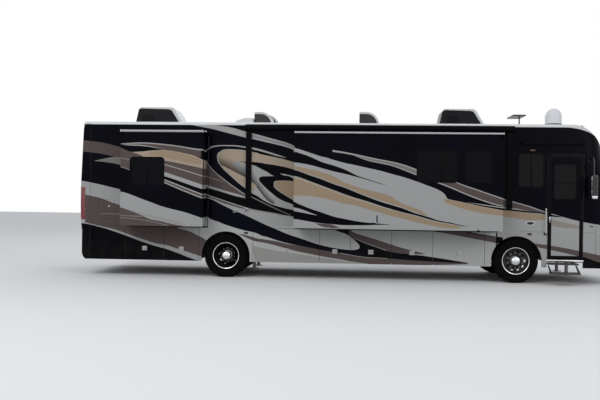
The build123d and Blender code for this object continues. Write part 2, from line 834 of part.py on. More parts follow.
def tyre_ring(x, y):
    """A plain tyre: beads, bulged walls, square shoulders and a flat tread."""
    half = tyre_width / 2
    bead = rim_width / 2 - rim_sheet / 2 - tyre_clearance
    tread = half - tyre_shoulder[1]
    radius = tyre_diameter / 2
    bore = seat_radius + tyre_clearance
    height = radius - bore
    with BuildSketch(wheel_plane(x, y)) as outline:
        with BuildLine():
            Polyline(
                (-bead, bore),
                (-bead, flange_radius + 1),
                (-half, bore + tyre_bulge * height),
                (-half + tyre_shoulder[0], radius - tyre_shoulder_drop * height),
                (-tread, radius),
                (tread, radius),
                (half - tyre_shoulder[0], radius - tyre_shoulder_drop * height),
                (half, bore + tyre_bulge * height),
                (bead, flange_radius + 1),
                (bead, bore),
                close=True,
            )
        make_face()
    revolve(outline.sketch, axis=Axis((x, y, axle_z), (0, 1, 0)))


def rim_ring(x, y):
    """A rim: the seat between two flanges."""
    half = rim_width / 2
    lip = rim_sheet / 2
    with BuildSketch(wheel_plane(x, y)) as outline:
        with BuildLine():
            Polyline(
                (-half, flange_radius),
                (-half, seat_radius - rim_sheet),
                (half, seat_radius - rim_sheet),
                (half, flange_radius),
                (half - lip, flange_radius),
                (half - lip, seat_radius),
                (-half + lip, seat_radius),
                (-half + lip, flange_radius),
                close=True,
            )
        make_face()
    revolve(outline.sketch, axis=Axis((x, y, axle_z), (0, 1, 0)))


def wheel_disc(x, rim_y, disc_y, thick, side):
    """A dished disc from inside a rim to its hub face, with a ring of round hand holes."""
    outer = seat_radius - rim_sheet / 2
    edge_y = rim_y + side * rim_width / 4 * (1 if side * (disc_y - rim_y) > 0 else -1)
    with BuildSketch(wheel_plane(x, 0)) as outline:
        with BuildLine():
            Polyline(
                (edge_y, outer),
                (disc_y, hub_radius + disc_foot[0]),
                (disc_y, hub_bore),
                (disc_y - side * thick, hub_bore),
                (disc_y - side * thick, hub_radius + disc_foot[1]),
                (edge_y - side * thick, outer),
                close=True,
            )
        make_face()
    revolve(outline.sketch, axis=Axis((x, 0, axle_z), (0, 1, 0)))


def hand_holes(x, y, side):
    """The ring of hand holes through a wheel's disc."""
    plane = Plane(origin=(x, y, axle_z), x_dir=(1, 0, 0), z_dir=(0, side, 0))
    with BuildSketch(plane) as outline:
        with PolarLocations(disc_hole_ring, disc_holes):
            Circle(disc_hole_radius)
    extrude(outline.sketch, amount=rim_width, both=True, mode=Mode.SUBTRACT)


tyres = {}
wheels = {}
front_y = track_half
rear_y = (track_half - dual_spacing, track_half)
dual_face_y = track_half - dual_spacing / 2
for name, side in (("right", -1), ("left", 1)):
    with BuildPart() as tyre:
        tyre_ring(front_axle_x, side * front_y)
    tyres["front_" + name + "_tyre"] = tyre
    with BuildPart() as wheel:
        rim_ring(front_axle_x, side * front_y)
        disc_y = side * (front_y + front_disc_out)
        wheel_disc(front_axle_x, side * front_y, disc_y, rim_sheet, side)
        hand_holes(front_axle_x, side * front_y, side)
        rod(
            (front_axle_x, side * (front_y - front_hub_back), axle_z),
            (front_axle_x, disc_y, axle_z),
            hub_radius,
        )
        rod(
            (front_axle_x, disc_y, axle_z),
            (front_axle_x, disc_y + side * hub_cap_out, axle_z),
            hub_cap_radius,
        )
        rod(
            (front_axle_x, 0, axle_z),
            (front_axle_x, disc_y + side * front_bore_out, axle_z),
            hub_bore,
            mode=Mode.SUBTRACT,
        )
    wheels["front_" + name + "_wheel"] = wheel
    with BuildPart() as tyre:
        for y in rear_y:
            tyre_ring(rear_axle_x, side * y)
    tyres["rear_" + name + "_tyres"] = tyre
    with BuildPart() as wheel:
        for y in rear_y:
            rim_ring(rear_axle_x, side * y)
        face_y = side * dual_face_y
        wheel_disc(rear_axle_x, side * rear_y[1], face_y + side * rim_sheet, rim_sheet, side)
        wheel_disc(rear_axle_x, side * rear_y[0], face_y, rim_sheet, side)
        for y in rear_y:
            hand_holes(rear_axle_x, side * y, side)
        rod(
            (rear_axle_x, side * hub_inner_y, axle_z),
            (rear_axle_x, face_y + side * rear_hub_out, axle_z),
            hub_radius,
        )
        rod(
            (rear_axle_x, face_y + side * rear_hub_out, axle_z),
            (rear_axle_x, face_y + side * rear_cap_out, axle_z),
            hub_cap_radius,
        )
        rod(
            (rear_axle_x, 0, axle_z),
            (rear_axle_x, face_y + side * rear_bore_out, axle_z),
            hub_bore,
            mode=Mode.SUBTRACT,
        )
    wheels["rear_" + name + "_wheels"] = wheel

# Front axle: a beam on air springs, with an eye for a king pin at each end
kingpin_y = 930
kingpin_radius = 25
eye_radius = 48
eye_half = 55
pin_clearance = 0.5
beam_half = 45
spring_y = 390
spring_radius = 38
arm_reach = 220
arm_z = (axle_z - 110, axle_z - 80)
arm_half = 26
rod_radius = 20
rod_drop = 20
rod_eye = (28, 15)
ball_radius = 14
ball_pin = 40

with BuildPart() as front_axle:
    block(
        (front_axle_x - beam_half, front_axle_x + beam_half),
        (-kingpin_y, kingpin_y),
        (axle_z - beam_half, axle_z + beam_half),
    )
    for side in (-1, 1):
        pin = (front_axle_x, side * kingpin_y)
        rod((*pin, axle_z - eye_half), (*pin, axle_z + eye_half), eye_radius)
    for side in (-1, 1):
        pin = (front_axle_x, side * kingpin_y)
        rod(
            (*pin, axle_z - 2 * eye_half),
            (*pin, axle_z + 2 * eye_half),
            kingpin_radius + pin_clearance,
            mode=Mode.SUBTRACT,
        )
        y = side * spring_y
        rod((front_axle_x, y, axle_z + beam_half), (front_axle_x, y, rail_under_z), spring_radius)

yoke_clearance = 1
yoke_inner = eye_radius + 12
yoke_outer = yoke_inner + 28
drum_y = (kingpin_y + yoke_outer, front_y - 20)
drum_radius = 200

with BuildPart() as knuckle_right:
    pin = (front_axle_x, -kingpin_y)
    lug_z = eye_half + yoke_clearance
    rod((*pin, arm_z[0]), (*pin, 2 * axle_z - arm_z[0]), kingpin_radius)
    for z in ((arm_z[0], axle_z - lug_z), (axle_z + lug_z, 2 * axle_z - arm_z[0])):
        rod((*pin, z[0]), (*pin, z[1]), eye_radius)
        block(
            (front_axle_x - eye_radius, front_axle_x + eye_radius),
            (-kingpin_y, -kingpin_y - yoke_outer),
            z,
        )
    block(
        (front_axle_x - eye_radius, front_axle_x + eye_radius),
        (-kingpin_y - yoke_inner, -kingpin_y - yoke_outer),
        (arm_z[0], 2 * axle_z - arm_z[0]),
    )
    rod((front_axle_x, -drum_y[0], axle_z), (front_axle_x, -drum_y[1], axle_z), drum_radius)
    spindle_end = front_y + front_disc_out
    rod((front_axle_x, -drum_y[0], axle_z), (front_axle_x, -spindle_end, axle_z), spindle_radius)
    arm = (front_axle_x - arm_reach, -kingpin_y)
    block((arm[0], pin[0]), (-kingpin_y - arm_half, -kingpin_y + arm_half), arm_z)
    rod((*arm, arm_z[0]), (*arm, arm_z[1]), arm_half)
    rod((*arm, arm_z[0] - ball_pin), (*arm, arm_z[0]), ball_radius)

with BuildPart() as knuckle_left:
    mirror(knuckle_right.part, about=Plane.XZ)

with BuildPart() as tie_rod:
    rod_z = arm_z[0] - rod_drop
    rod_x = front_axle_x - arm_reach
    rod((rod_x, -kingpin_y, rod_z), (rod_x, kingpin_y, rod_z), rod_radius / 2)
    for side in (-1, 1):
        rod(
            (rod_x, side * kingpin_y, rod_z - rod_eye[1]),
            (rod_x, side * kingpin_y, rod_z + rod_eye[1]),
            rod_eye[0],
        )
    for side in (-1, 1):
        rod(
            (rod_x, side * kingpin_y, rod_z - ball_pin),
            (rod_x, side * kingpin_y, rod_z + ball_pin),
            ball_radius + pin_clearance,
            mode=Mode.SUBTRACT,
        )

# Rear axle: a tube with the final drive in the middle, on saddles and air springs
axle_tube_radius = 75
tube_end_y = hub_inner_y - 1
rear_spindle_y = dual_face_y + 30
final_drive = (-150, 190)
final_drive_radius = 190
saddle_reach = 420
saddle_half = 40
saddle_thick = 60
saddle_z = axle_z - axle_tube_radius - 20

with BuildPart() as rear_axle:
    rod((rear_axle_x, -tube_end_y, axle_z), (rear_axle_x, tube_end_y, axle_z), axle_tube_radius)
    rod(
        (rear_axle_x + final_drive[0], 0, axle_z),
        (rear_axle_x + final_drive[1], 0, axle_z),
        final_drive_radius,
    )
    for side in (-1, 1):
        rod(
            (rear_axle_x, side * tube_end_y, axle_z),
            (rear_axle_x, side * rear_spindle_y, axle_z),
            spindle_radius,
        )
        y = (side * (spring_y - saddle_half), side * (spring_y + saddle_half))
        top_z = saddle_z + saddle_thick
        block((rear_axle_x - saddle_reach, rear_axle_x + saddle_reach), y, (saddle_z, top_z))
        for x in (rear_axle_x - saddle_reach + 60, rear_axle_x + saddle_reach - 60):
            rod((x, side * spring_y, top_z), (x, side * spring_y, rail_under_z), spring_radius)

# Engine and gearbox: one plain block behind the rear axle, with its exhaust
engine_x = (rear_x + 640, rear_x + 1960)
engine_half = 330
engine_z = (560, 1080)
shaft_radius = 45
shaft_x = rear_axle_x + final_drive[0] - 30
exhaust_radius = 55
exhaust_x = (rear_x + 130, engine_x[0] + 120)
exhaust_y = -rail_outer_y - 120
exhaust_z = 640

with BuildPart() as power_train:
    block(engine_x, (-engine_half, engine_half), engine_z)
    rod((engine_x[1], 0, axle_z + 180), (shaft_x, 0, axle_z + 60), shaft_radius)
    rod((exhaust_x[1], -engine_half, exhaust_z), (exhaust_x[1], exhaust_y, exhaust_z), exhaust_radius)
    rod(
        (exhaust_x[1] + exhaust_radius, exhaust_y, exhaust_z),
        (exhaust_x[0], exhaust_y, exhaust_z),
        exhaust_radius,
    )

# Tanks hung between the rails and the left side, ahead of the front axle
tank_x = (front_axle_x + 680, front_axle_x + 1230)
tank_y = (-150, 1020)
tank_z = (470, rail_under_z)

with BuildPart() as tanks:
    block(tank_x, tank_y, tank_z)
    fillet(tanks.edges().filter_by(Axis.Y), 60)

# Levelling jacks, drawn up under the rails
jack_x = (front_axle_x + 1330, rear_axle_x + 545)
jack_foot_z = 130
jack_foot = (110, 15)
jack_leg_radius = 40

with BuildPart() as leveling_jacks:
    for x in jack_x:
        for side in (-1, 1):
            foot_top = jack_foot_z + jack_foot[1]
            rod((x, side * spring_y, jack_foot_z), (x, side * spring_y, foot_top), jack_foot[0])
            rod((x, side * spring_y, foot_top), (x, side * spring_y, rail_under_z), jack_leg_radius)

# Hitch receiver: a square tube with a pin hole, under the tail
pin_hole = 15.9
pin_back = 65

with BuildPart() as hitch_receiver:
    face_x = rear_x + 12
    x = (face_x, face_x + receiver_length)
    outer = receiver_outer / 2
    inner = receiver_inner / 2
    block(x, (-outer, outer), (receiver_z - outer, receiver_z + outer))
    block(x, (-inner, inner), (receiver_z - inner, receiver_z + inner), mode=Mode.SUBTRACT)
    bar_x = (face_x + receiver_length - 70, face_x + receiver_length)
    block(bar_x, (-rail_outer_y, rail_outer_y), (receiver_z + outer, receiver_z + outer + 70))
    for side in (-1, 1):
        y = (side * rail_inner_y, side * (rail_inner_y + 14))
        block(bar_x, y, (receiver_z + outer + 70, rail_under_z))
    rod(
        (face_x + pin_back, -receiver_outer, receiver_z),
        (face_x + pin_back, receiver_outer, receiver_z),
        pin_hole / 2,
        mode=Mode.SUBTRACT,
    )

# Awnings: the patio awning's case on two arms, and a short one over the entry door
awning_x = (rear_axle_x + 424, front_axle_x - 89)
awning_z = (3295, 3425)
awning_deep = 130
awning_arms = ((11, 124, 1763), (-142, 118, 1622))
awning_arm_deep = 45
door_awning_x = (front_axle_x + 75, door_x[1] + 10)
door_awning_z = (3030, 3095)
door_awning_deep = 85

with BuildPart() as awnings:
    block(awning_x, (-half_width - awning_deep, -half_width), awning_z)
    fillet(awnings.edges().filter_by(Axis.X).group_by(Axis.Y)[0], 50)
    block(door_awning_x, (-half_width - door_awning_deep, -half_width), door_awning_z)
    for place, width, low in awning_arms:
        x = awning_x[0 if place > 0 else 1] + place
        block((x, x + width), (-half_width - awning_arm_deep, -half_width), (low, awning_z[0]))

# Roof equipment, all standing on the flat of the roof
ac_units = ((rear_axle_x - 2376, 1168), (front_axle_x - 1601, 1075))
ac_height = 420
ac_half = 370
ac_tail_slope = 90
ac_nose_slope = 250
ac_round = 45

with BuildPart() as air_conditioners:
    for x, length in ac_units:
        with BuildSketch(Plane.XZ) as outline:
            with BuildLine():
                Polyline(
                    (x, roof_z),
                    (x + length, roof_z),
                    (x + length - ac_nose_slope, roof_z + ac_height),
                    (x + ac_tail_slope, roof_z + ac_height),
                    close=True,
                )
            make_face()
            fillet(outline.vertices().group_by(Axis.Y)[-1], 2 * ac_round)
        extrude(amount=ac_half, both=True)
    fillet(air_conditioners.edges().group_by(Axis.Z)[-1], ac_round)

vent_lids = ((rear_axle_x + 99, 400, -500, 137),)
vent_hoods = (
    (rear_axle_x + 508, 442, -300, 300),
    (rear_axle_x + 600, 442, 200, 290),
    (front_axle_x - 3437, 458, -300, 316),
)
vent_half = 200
hood_sheet = 12
hood_louvres = 4

with BuildPart() as roof_vents:
    for x, length, y, height in vent_lids:
        with BuildSketch(Plane.XZ.offset(-y)) as outline:
            with BuildLine():
                Polyline(
                    (x, roof_z),
                    (x + length, roof_z),
                    (x + length, roof_z + height),
                    (x + length / 2, roof_z + height),
                    (x, roof_z + height / 2),
                    close=True,
                )
            make_face()
        extrude(amount=vent_half, both=True)
    for x, length, y, height in vent_hoods:
        for inset, mode in ((0, Mode.ADD), (hood_sheet, Mode.SUBTRACT)):
            tail_x = x if inset == 0 else x - inset
            flat_x = x + 0.35 * length
            low = roof_z - inset
            with BuildSketch(Plane.XZ.offset(-y)) as outline:
                with BuildLine():
                    top = Line((tail_x, roof_z + height - inset), (flat_x, roof_z + height - inset))
                    nose_length = x + length - flat_x - inset
                    rise = roof_z + height - inset - low
                    EllipticalCenterArc((flat_x, low), nose_length, rise, start_angle=0, arc_size=90)
                    Polyline((x + length - inset, low), (tail_x, low), top @ 0)
                make_face()
            extrude(amount=vent_half - inset, both=True, mode=mode)
        for k in range(hood_louvres):
            z = roof_z + (k + 0.5) * height / (hood_louvres + 0.5)
            block((x + 5, x + 25), (y - vent_half + 1, y + vent_half - 1), (z, z + hood_sheet))

dome_at = (front_axle_x + 962, -500)
dome_radius = 195
dome_base = 60
dome_height = 420
antenna_at = (front_axle_x + 330, 250)

with BuildPart() as roof_antennas:
    x, y = dome_at
    with BuildSketch(Plane(origin=(x, y, roof_z - 1), x_dir=(1, 0, 0), z_dir=(0, -1, 0))) as outline:
        with BuildLine():
            side = Polyline((0, 1), (dome_radius, 1), (dome_radius, dome_base))
            step = Line(side @ 1, (dome_radius - 12, dome_base + 8))
            wall_line = Line(step @ 1, (dome_radius - 12, dome_height + 1 - dome_radius + 12))
            cap_line = RadiusArc(wall_line @ 1, (0, dome_height + 1), -(dome_radius - 12))
            Line(cap_line @ 1, (0, 1))
        make_face()
    revolve(axis=Axis((x, y, 0), (0, 0, 1)))
    x, y = antenna_at
    block((x - 90, x + 90), (y - 80, y + 80), (roof_z, roof_z + 35))
    rod((x + 40, y, roof_z + 35), (x + 40, y, roof_z + 300), 16)
    block((x - 180, x + 120), (y - 330, y + 330), (roof_z + 295, roof_z + 325))
    fillet(roof_antennas.edges().filter_by(Axis.Z).group_by(SortBy.LENGTH)[0], 12)

# Mirrors on arms from the front cap
mirror_x = (wall_front_x - 8, wall_front_x + 122)
mirror_out = (198, 398)
mirror_z = (1862, 2372)
mirror_round = 35
mirror_arm_z = 2700
mirror_arm_radius = 16

with BuildPart() as right_mirror:
    block(mirror_x, (-half_width - mirror_out[0], -half_width - mirror_out[1]), mirror_z)
    fillet(right_mirror.edges(), mirror_round)
    arm_y = -half_width - (mirror_out[0] + mirror_out[1]) / 2
    arm_x = (mirror_x[0] + mirror_x[1]) / 2
    root_x = wall_front_x + 32
    rod((root_x, -half_width, mirror_arm_z), (root_x, -half_width - 14, mirror_arm_z), 26)
    with BuildLine() as arm_path:
        FilletPolyline(
            (root_x, -half_width - 8, mirror_arm_z),
            (arm_x, arm_y, mirror_arm_z + 60),
            (arm_x, arm_y, mirror_z[1] - 20),
            radius=90,
        )
    with BuildSketch(Plane(origin=arm_path.line @ 0, z_dir=arm_path.line % 0)) as arm_end:
        Circle(mirror_arm_radius)
    sweep(path=arm_path.line)

with BuildPart() as mirrors:
    add(right_mirror.part)
    mirror(right_mirror.part, about=Plane.XZ)

# Wipers: an arm and a blade on each side of the windshield's foot
wiper_pivot = (330, 1420)
wiper_middle = (560, 1570)
wiper_half = 380
wiper_stand = 26

with BuildPart() as wipers:
    for side in (-1, 1):
        y, z = side * wiper_pivot[0], wiper_pivot[1]
        x = nose_x(y, z)
        rod((x + 4, y, z), (x + wiper_stand + 12, y, z), 20)
        y2, z2 = side * wiper_middle[0], wiper_middle[1]
        centre = (nose_x(y2, z2) + wiper_stand, y2, z2)
        rod((x + wiper_stand, y, z), centre, 9)
        ends = []
        for reach in (-wiper_half, wiper_half):
            tip_y = y2 + side * reach
            tip_z = z2 + reach / 8
            ends.append((nose_x(tip_y, tip_z) + wiper_stand - 6, tip_y, tip_z))
        rod(ends[0], ends[1], 8)

# Cab: dashboard with its steering wheel, and two seats on pedestals
dash_x = (wall_front_x - 30, front_x - 260)
dash_y = (-(wall_inner_y - well_depth) + 12, 1150)
dash_z = (1540, 1490)
wheel_centre = (front_x - 990, 640, 1770)
wheel_ring = (215, 15)
wheel_tilt = 35

with BuildPart() as dashboard:
    with BuildSketch(Plane.XZ) as outline:
        with BuildLine():
            Polyline(
                (dash_x[0] + 160, floor_z),
                (dash_x[1], floor_z),
                (dash_x[1], dash_z[1]),
                (dash_x[0] + 80, dash_z[0]),
                (dash_x[0], dash_z[0] - 120),
                (dash_x[0] + 90, dash_z[0] - 260),
                close=True,
            )
        make_face()
    extrude(outline.sketch, amount=far, both=True)
    block(dash_x, dash_y, (floor_z, dash_z[0]), mode=Mode.INTERSECT)
    add(inside, mode=Mode.INTERSECT)
    tilt = radians(wheel_tilt)
    axle = Vector(sin(tilt), 0, -cos(tilt))
    hub = Vector(*wheel_centre)
    rod(hub - axle * 14, hub + axle * 420, 34)
    ring_plane = Plane(origin=wheel_centre, x_dir=(0, 1, 0), z_dir=axle)
    with Locations(ring_plane):
        Torus(wheel_ring[0], wheel_ring[1])
    across = ring_plane.x_dir * wheel_ring[0]
    rod(hub - across, hub + across, wheel_ring[1] - 4)

seats = ((front_x - 1555, 640), (front_axle_x + 95, -760))
seat_half = 255
seat_length = 500
seat_z = (1430, 1590)
seat_back_top = 2310
seat_back_thick = 130
seat_recline = 12

with BuildPart() as front_seats:
    for x, y in seats:
        middle_x = x + seat_length / 2
        block((middle_x - 150, middle_x + 150), (y - 160, y + 160), (floor_z, seat_z[0]))
        with BuildSketch(Plane.XZ.offset(-y)) as outline:
            back_run = (seat_back_top - seat_z[1]) * tan(radians(seat_recline))
            with BuildLine():
                Polyline(
                    (x, seat_z[0]),
                    (x + seat_length, seat_z[0]),
                    (x + seat_length, seat_z[1]),
                    (x + seat_back_thick + 20, seat_z[1] - 20),
                    (x + seat_back_thick - back_run, seat_back_top),
                    (x - back_run, seat_back_top),
                    close=True,
                )
            make_face()
            fillet(outline.vertices().group_by(Axis.Y)[-1], 50)
        extrude(amount=seat_half, both=True)

nodes = {
    "right_side_wall": right_side_wall,
    "left_side_wall": left_side_wall,
    "side_windows": side_windows,
    "roof": roof,
    "front_cap": front_cap,
    "windshield": windshield,
    "headlamps": headlamps,
    "rear_cap": rear_cap,
    "tail_lamps": tail_lamps,
    "engine_door": engine_door,
    "house_floor": house_floor,
    "wheel_wells": wheel_wells,
    "chassis_frame": chassis_frame,
    "luggage_bays": luggage_bays,
    "rear_slide": rear_slide,
    "rear_slide_window": rear_slide_window,
    "front_slide": front_slide,
    "front_slide_windows": front_slide_windows,
    "left_slide": left_slide,
    "left_slide_windows": left_slide_windows,
    "entry_door": entry_door,
    "entry_door_window": entry_door_window,
    "entry_step": entry_step,
    **tyres,
    **wheels,
    "front_axle": front_axle,
    "knuckle_right": knuckle_right,
    "knuckle_left": knuckle_left,
    "tie_rod": tie_rod,
    "rear_axle": rear_axle,
    "power_train": power_train,
    "tanks": tanks,
    "leveling_jacks": leveling_jacks,
    "hitch_receiver": hitch_receiver,
    "awnings": awnings,
    "air_conditioners": air_conditioners,
    "roof_vents": roof_vents,
    "roof_antennas": roof_antennas,
    "mirrors": mirrors,
    "wipers": wipers,
    "dashboard": dashboard,
    "front_seats": front_seats,
}
for k, span in enumerate(bay_doors):
    with BuildPart() as door:
        add(bay_door(span, -1))
    nodes[f"right_bay_door_{k + 1}"] = door
for k, span in enumerate(left_bay_doors):
    with BuildPart() as door:
        add(bay_door(span, 1))
    nodes[f"left_bay_door_{k + 1}"] = door
for name, node in nodes.items():
    save(node, name)
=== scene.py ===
import bpy
import bmesh
from math import cos, pi, radians, sin
from mathutils import Matrix, Vector


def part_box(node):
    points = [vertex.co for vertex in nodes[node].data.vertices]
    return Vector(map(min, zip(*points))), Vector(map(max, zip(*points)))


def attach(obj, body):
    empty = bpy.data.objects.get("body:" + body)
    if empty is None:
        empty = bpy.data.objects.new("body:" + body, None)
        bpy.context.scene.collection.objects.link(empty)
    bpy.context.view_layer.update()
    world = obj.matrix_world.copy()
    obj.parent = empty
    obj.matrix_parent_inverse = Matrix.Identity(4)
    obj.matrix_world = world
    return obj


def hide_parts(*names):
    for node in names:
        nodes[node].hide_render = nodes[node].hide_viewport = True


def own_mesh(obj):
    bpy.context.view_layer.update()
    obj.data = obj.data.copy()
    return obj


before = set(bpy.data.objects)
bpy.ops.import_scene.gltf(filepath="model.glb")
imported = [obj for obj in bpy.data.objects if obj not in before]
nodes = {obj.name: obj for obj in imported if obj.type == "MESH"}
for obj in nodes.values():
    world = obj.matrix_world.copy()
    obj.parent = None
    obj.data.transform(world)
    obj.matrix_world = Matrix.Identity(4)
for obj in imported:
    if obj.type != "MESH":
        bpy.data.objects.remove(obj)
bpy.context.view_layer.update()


# Camera: level with the middle of the side, as the photograph was taken
camera_lens = 43.56
camera_at = (0.0751, -17.3893, 1.7689)
camera_yaw, camera_pitch, camera_roll = -0.0666, -0.0008, 0.0136


def camera():
    data = bpy.data.cameras.new("camera")
    data.lens = camera_lens
    data.sensor_width = 36
    data.clip_end = 200
    obj = bpy.data.objects.new("camera", data)
    bpy.context.scene.collection.objects.link(obj)
    yaw, pitch, roll = camera_yaw, camera_pitch, camera_roll
    forward = Vector((sin(yaw) * cos(pitch), cos(yaw) * cos(pitch), sin(pitch)))
    right = Vector((cos(yaw), -sin(yaw), 0))
    up = right.cross(forward)
    across = cos(roll) * right + sin(roll) * up
    upward = cos(roll) * up - sin(roll) * right
    turn = Matrix((across, upward, -forward)).transposed()
    obj.matrix_world = Matrix.Translation(camera_at) @ turn.to_4x4()
    bpy.context.scene.camera = obj


camera()
bpy.context.scene.view_settings.view_transform = "Standard"


# Node helpers
class Tree:
    """Short calls for the nodes of a material or of the world."""

    def __init__(self, tree):
        self.tree = tree
        self.tree.nodes.clear()

    def add(self, kind):
        return self.tree.nodes.new(kind)

    def link(self, a, b):
        self.tree.links.new(a, b)

    def feed(self, value, socket):
        if isinstance(value, (int, float)):
            socket.default_value = value
        elif isinstance(value, (tuple, list)):
            short = len(value) == 3 and len(socket.default_value) == 4
            socket.default_value = (*value, 1.0) if short else value
        else:
            self.link(value, socket)

    def math(self, kind, *values, clamp=False):
        node = self.add("ShaderNodeMath")
        node.operation = kind
        node.use_clamp = clamp
        for value, socket in zip(values, node.inputs):
            self.feed(value, socket)
        return node.outputs[0]

    def mix(self, factor, a, b):
        node = self.add("ShaderNodeMix")
        node.data_type = "RGBA"
        self.feed(factor, node.inputs[0])
        self.feed(a, node.inputs[6])
        self.feed(b, node.inputs[7])
        return node.outputs[2]

    def seen(self):
        """1 for the camera, a reflection or a look through glass, and 0 for the light that falls."""
        rays = self.add("ShaderNodeLightPath").outputs
        indirect = self.math("MAXIMUM", rays["Is Glossy Ray"], rays["Is Transmission Ray"])
        return self.math("MAXIMUM", rays["Is Camera Ray"], indirect)

    def range(self, value, low, high, to_low, to_high):
        node = self.add("ShaderNodeMapRange")
        self.feed(value, node.inputs[0])
        for k, number in enumerate((low, high, to_low, to_high)):
            node.inputs[k + 1].default_value = number
        return node.outputs[0]


class Nodes(Tree):
    """A material with its shader, painted by the place on its object."""

    def __init__(self, name, rough=0.5, metal=0.0):
        self.mat = bpy.data.materials.new(name)
        self.mat.use_nodes = True
        super().__init__(self.mat.node_tree)
        out = self.add("ShaderNodeOutputMaterial")
        self.shader = self.add("ShaderNodeBsdfPrincipled")
        self.shader.inputs["Roughness"].default_value = rough
        self.shader.inputs["Metallic"].default_value = metal
        self.link(self.shader.outputs[0], out.inputs[0])
        self.places = self.add("ShaderNodeTexCoord").outputs

    def axes(self, output="Object"):
        """The three parts of a point or of the surface's direction."""
        split = self.add("ShaderNodeSeparateXYZ")
        self.link(self.places[output], split.inputs[0])
        return split.outputs

    def noise(self, scale, detail):
        node = self.add("ShaderNodeTexNoise")
        node.inputs["Scale"].default_value = scale
        node.inputs["Detail"].default_value = detail
        self.link(self.places["Object"], node.inputs["Vector"])
        return node.outputs[0]

    def cloud(self, scale, detail, to_low=0, to_high=1, low=0.3, high=0.7):
        """Noise that runs from one value to another."""
        return self.range(self.noise(scale, detail), low, high, to_low, to_high)

    def curve(self, value, places, heights):
        """A smooth curve through points, read at a value from 0 to 1."""
        node = self.add("ShaderNodeFloatCurve")
        curve = node.mapping.curves[0]
        curve.points[0].location = (places[0], heights[0])
        curve.points[1].location = (places[-1], heights[-1])
        for place, height in zip(places[1:-1], heights[1:-1]):
            curve.points.new(place, height)
        for point in curve.points:
            point.handle_type = "AUTO_CLAMPED"
        node.mapping.update()
        self.link(value, node.inputs["Value"])
        return node.outputs[0]

    def bump(self, height, strength, distance):
        node = self.add("ShaderNodeBump")
        node.inputs["Strength"].default_value = strength
        node.inputs["Distance"].default_value = distance
        self.link(height, node.inputs["Height"])
        last = self.shader.inputs["Normal"]
        if last.is_linked:
            self.link(last.links[0].from_socket, node.inputs["Normal"])
        self.link(node.outputs[0], last)

    def set(self, **values):
        for name, value in values.items():
            self.feed(value, self.shader.inputs[name.replace("_", " ")])


def shade(base, amount):
    return tuple(min(1.0, c * amount) for c in base)


def turns(count):
    """Angles once round a circle."""
    return [2 * pi * k / count for k in range(count)]


def finish(
    name, base, rough, metal=0.0, spread=0.12, grain=60.0, bump=0.0, bump_scale=400.0, dirt=0.0, **sockets
):
    """A material with cloudy colour, uneven gloss, a fine grain and dust towards the ground."""
    made = Nodes(name, rough, metal)
    colour = made.mix(made.cloud(grain / 12, 4), shade(base, 1 - spread), shade(base, 1 + spread))
    if dirt:
        low = made.range(made.axes()[2], 0.1, 1.3, dirt, 0)
        dust = made.math("MULTIPLY", low, made.cloud(5.0, 6.0, 0.2, 1, 0.35))
        colour = made.mix(dust, colour, (0.16, 0.14, 0.12))
    made.set(Base_Color=colour)
    made.set(Roughness=made.cloud(grain, 3, max(0.02, rough * 0.82), min(1, rough * 1.18)))
    if bump:
        made.bump(made.noise(bump_scale, 2.0), 0.6, bump)
    made.set(**sockets)
    return made.mat


# Paint: swept stripes over a dark base. Every stripe is a band between an upper
# and a lower edge along the length, so both sides of the body carry the same.
dark = (0.0010, 0.0011, 0.0026)
navy = (0.0015, 0.0018, 0.0065)
white = (0.415, 0.42, 0.415)
# Lit copy of the white for the luggage doors, set lighter to make up for the shade that falls on them under
# the slide-out rooms
bay_white_lit_copy = (0.50, 0.505, 0.495)
pearl = (0.37, 0.36, 0.345)
cream = (0.45, 0.365, 0.285)
tan = (0.385, 0.29, 0.20)
taupe = (0.118, 0.090, 0.086)
grey = (0.23, 0.215, 0.205)
silver = (0.42, 0.41, 0.40)
fade = (0.060, 0.047, 0.044)
sand = (0.33, 0.295, 0.25)

# Each stripe: colour, then rows of place along the length, upper edge, lower edge
rear_wall = [
    (taupe, [(-6.2, 3.06, 2.8), (-5.93, 3.045, 2.788), (-5.75, 3.025, 2.77), (-5.5, 2.995, 2.738),
        (-5.25, 2.938, 2.688), (-5.08, 2.895, 2.66), (-4.9, 2.85, 2.66)]),
    (grey, [(-5.68, 2.583, 2.577), (-5.5, 2.625, 2.5625), (-5.25, 2.672, 2.53), (-5.08, 2.665, 2.495),
        (-4.9, 2.655, 2.45)]),
    (white, [(-6.2, 2.16, 1.86), (-6.0, 2.13, 1.83), (-5.75, 2.0875, 1.7875), (-5.5, 2.0375, 1.73),
        (-5.25, 1.98, 1.6375), (-5.07, 1.9375, 1.5875), (-4.9, 1.89, 1.53)]),
    (taupe, [(-6.2, 1.86, 1.2), (-6.0, 1.83, 1.18), (-5.75, 1.7875, 1.14), (-5.5, 1.73, 1.08),
        (-5.25, 1.6375, 1.01), (-5.07, 1.5875, 0.95), (-4.9, 1.53, 0.93)]),
    (grey, [(-5.58, 1.392, 1.386), (-5.4, 1.396, 1.379), (-5.2, 1.397, 1.378), (-4.9, 1.375, 1.362)]),
]
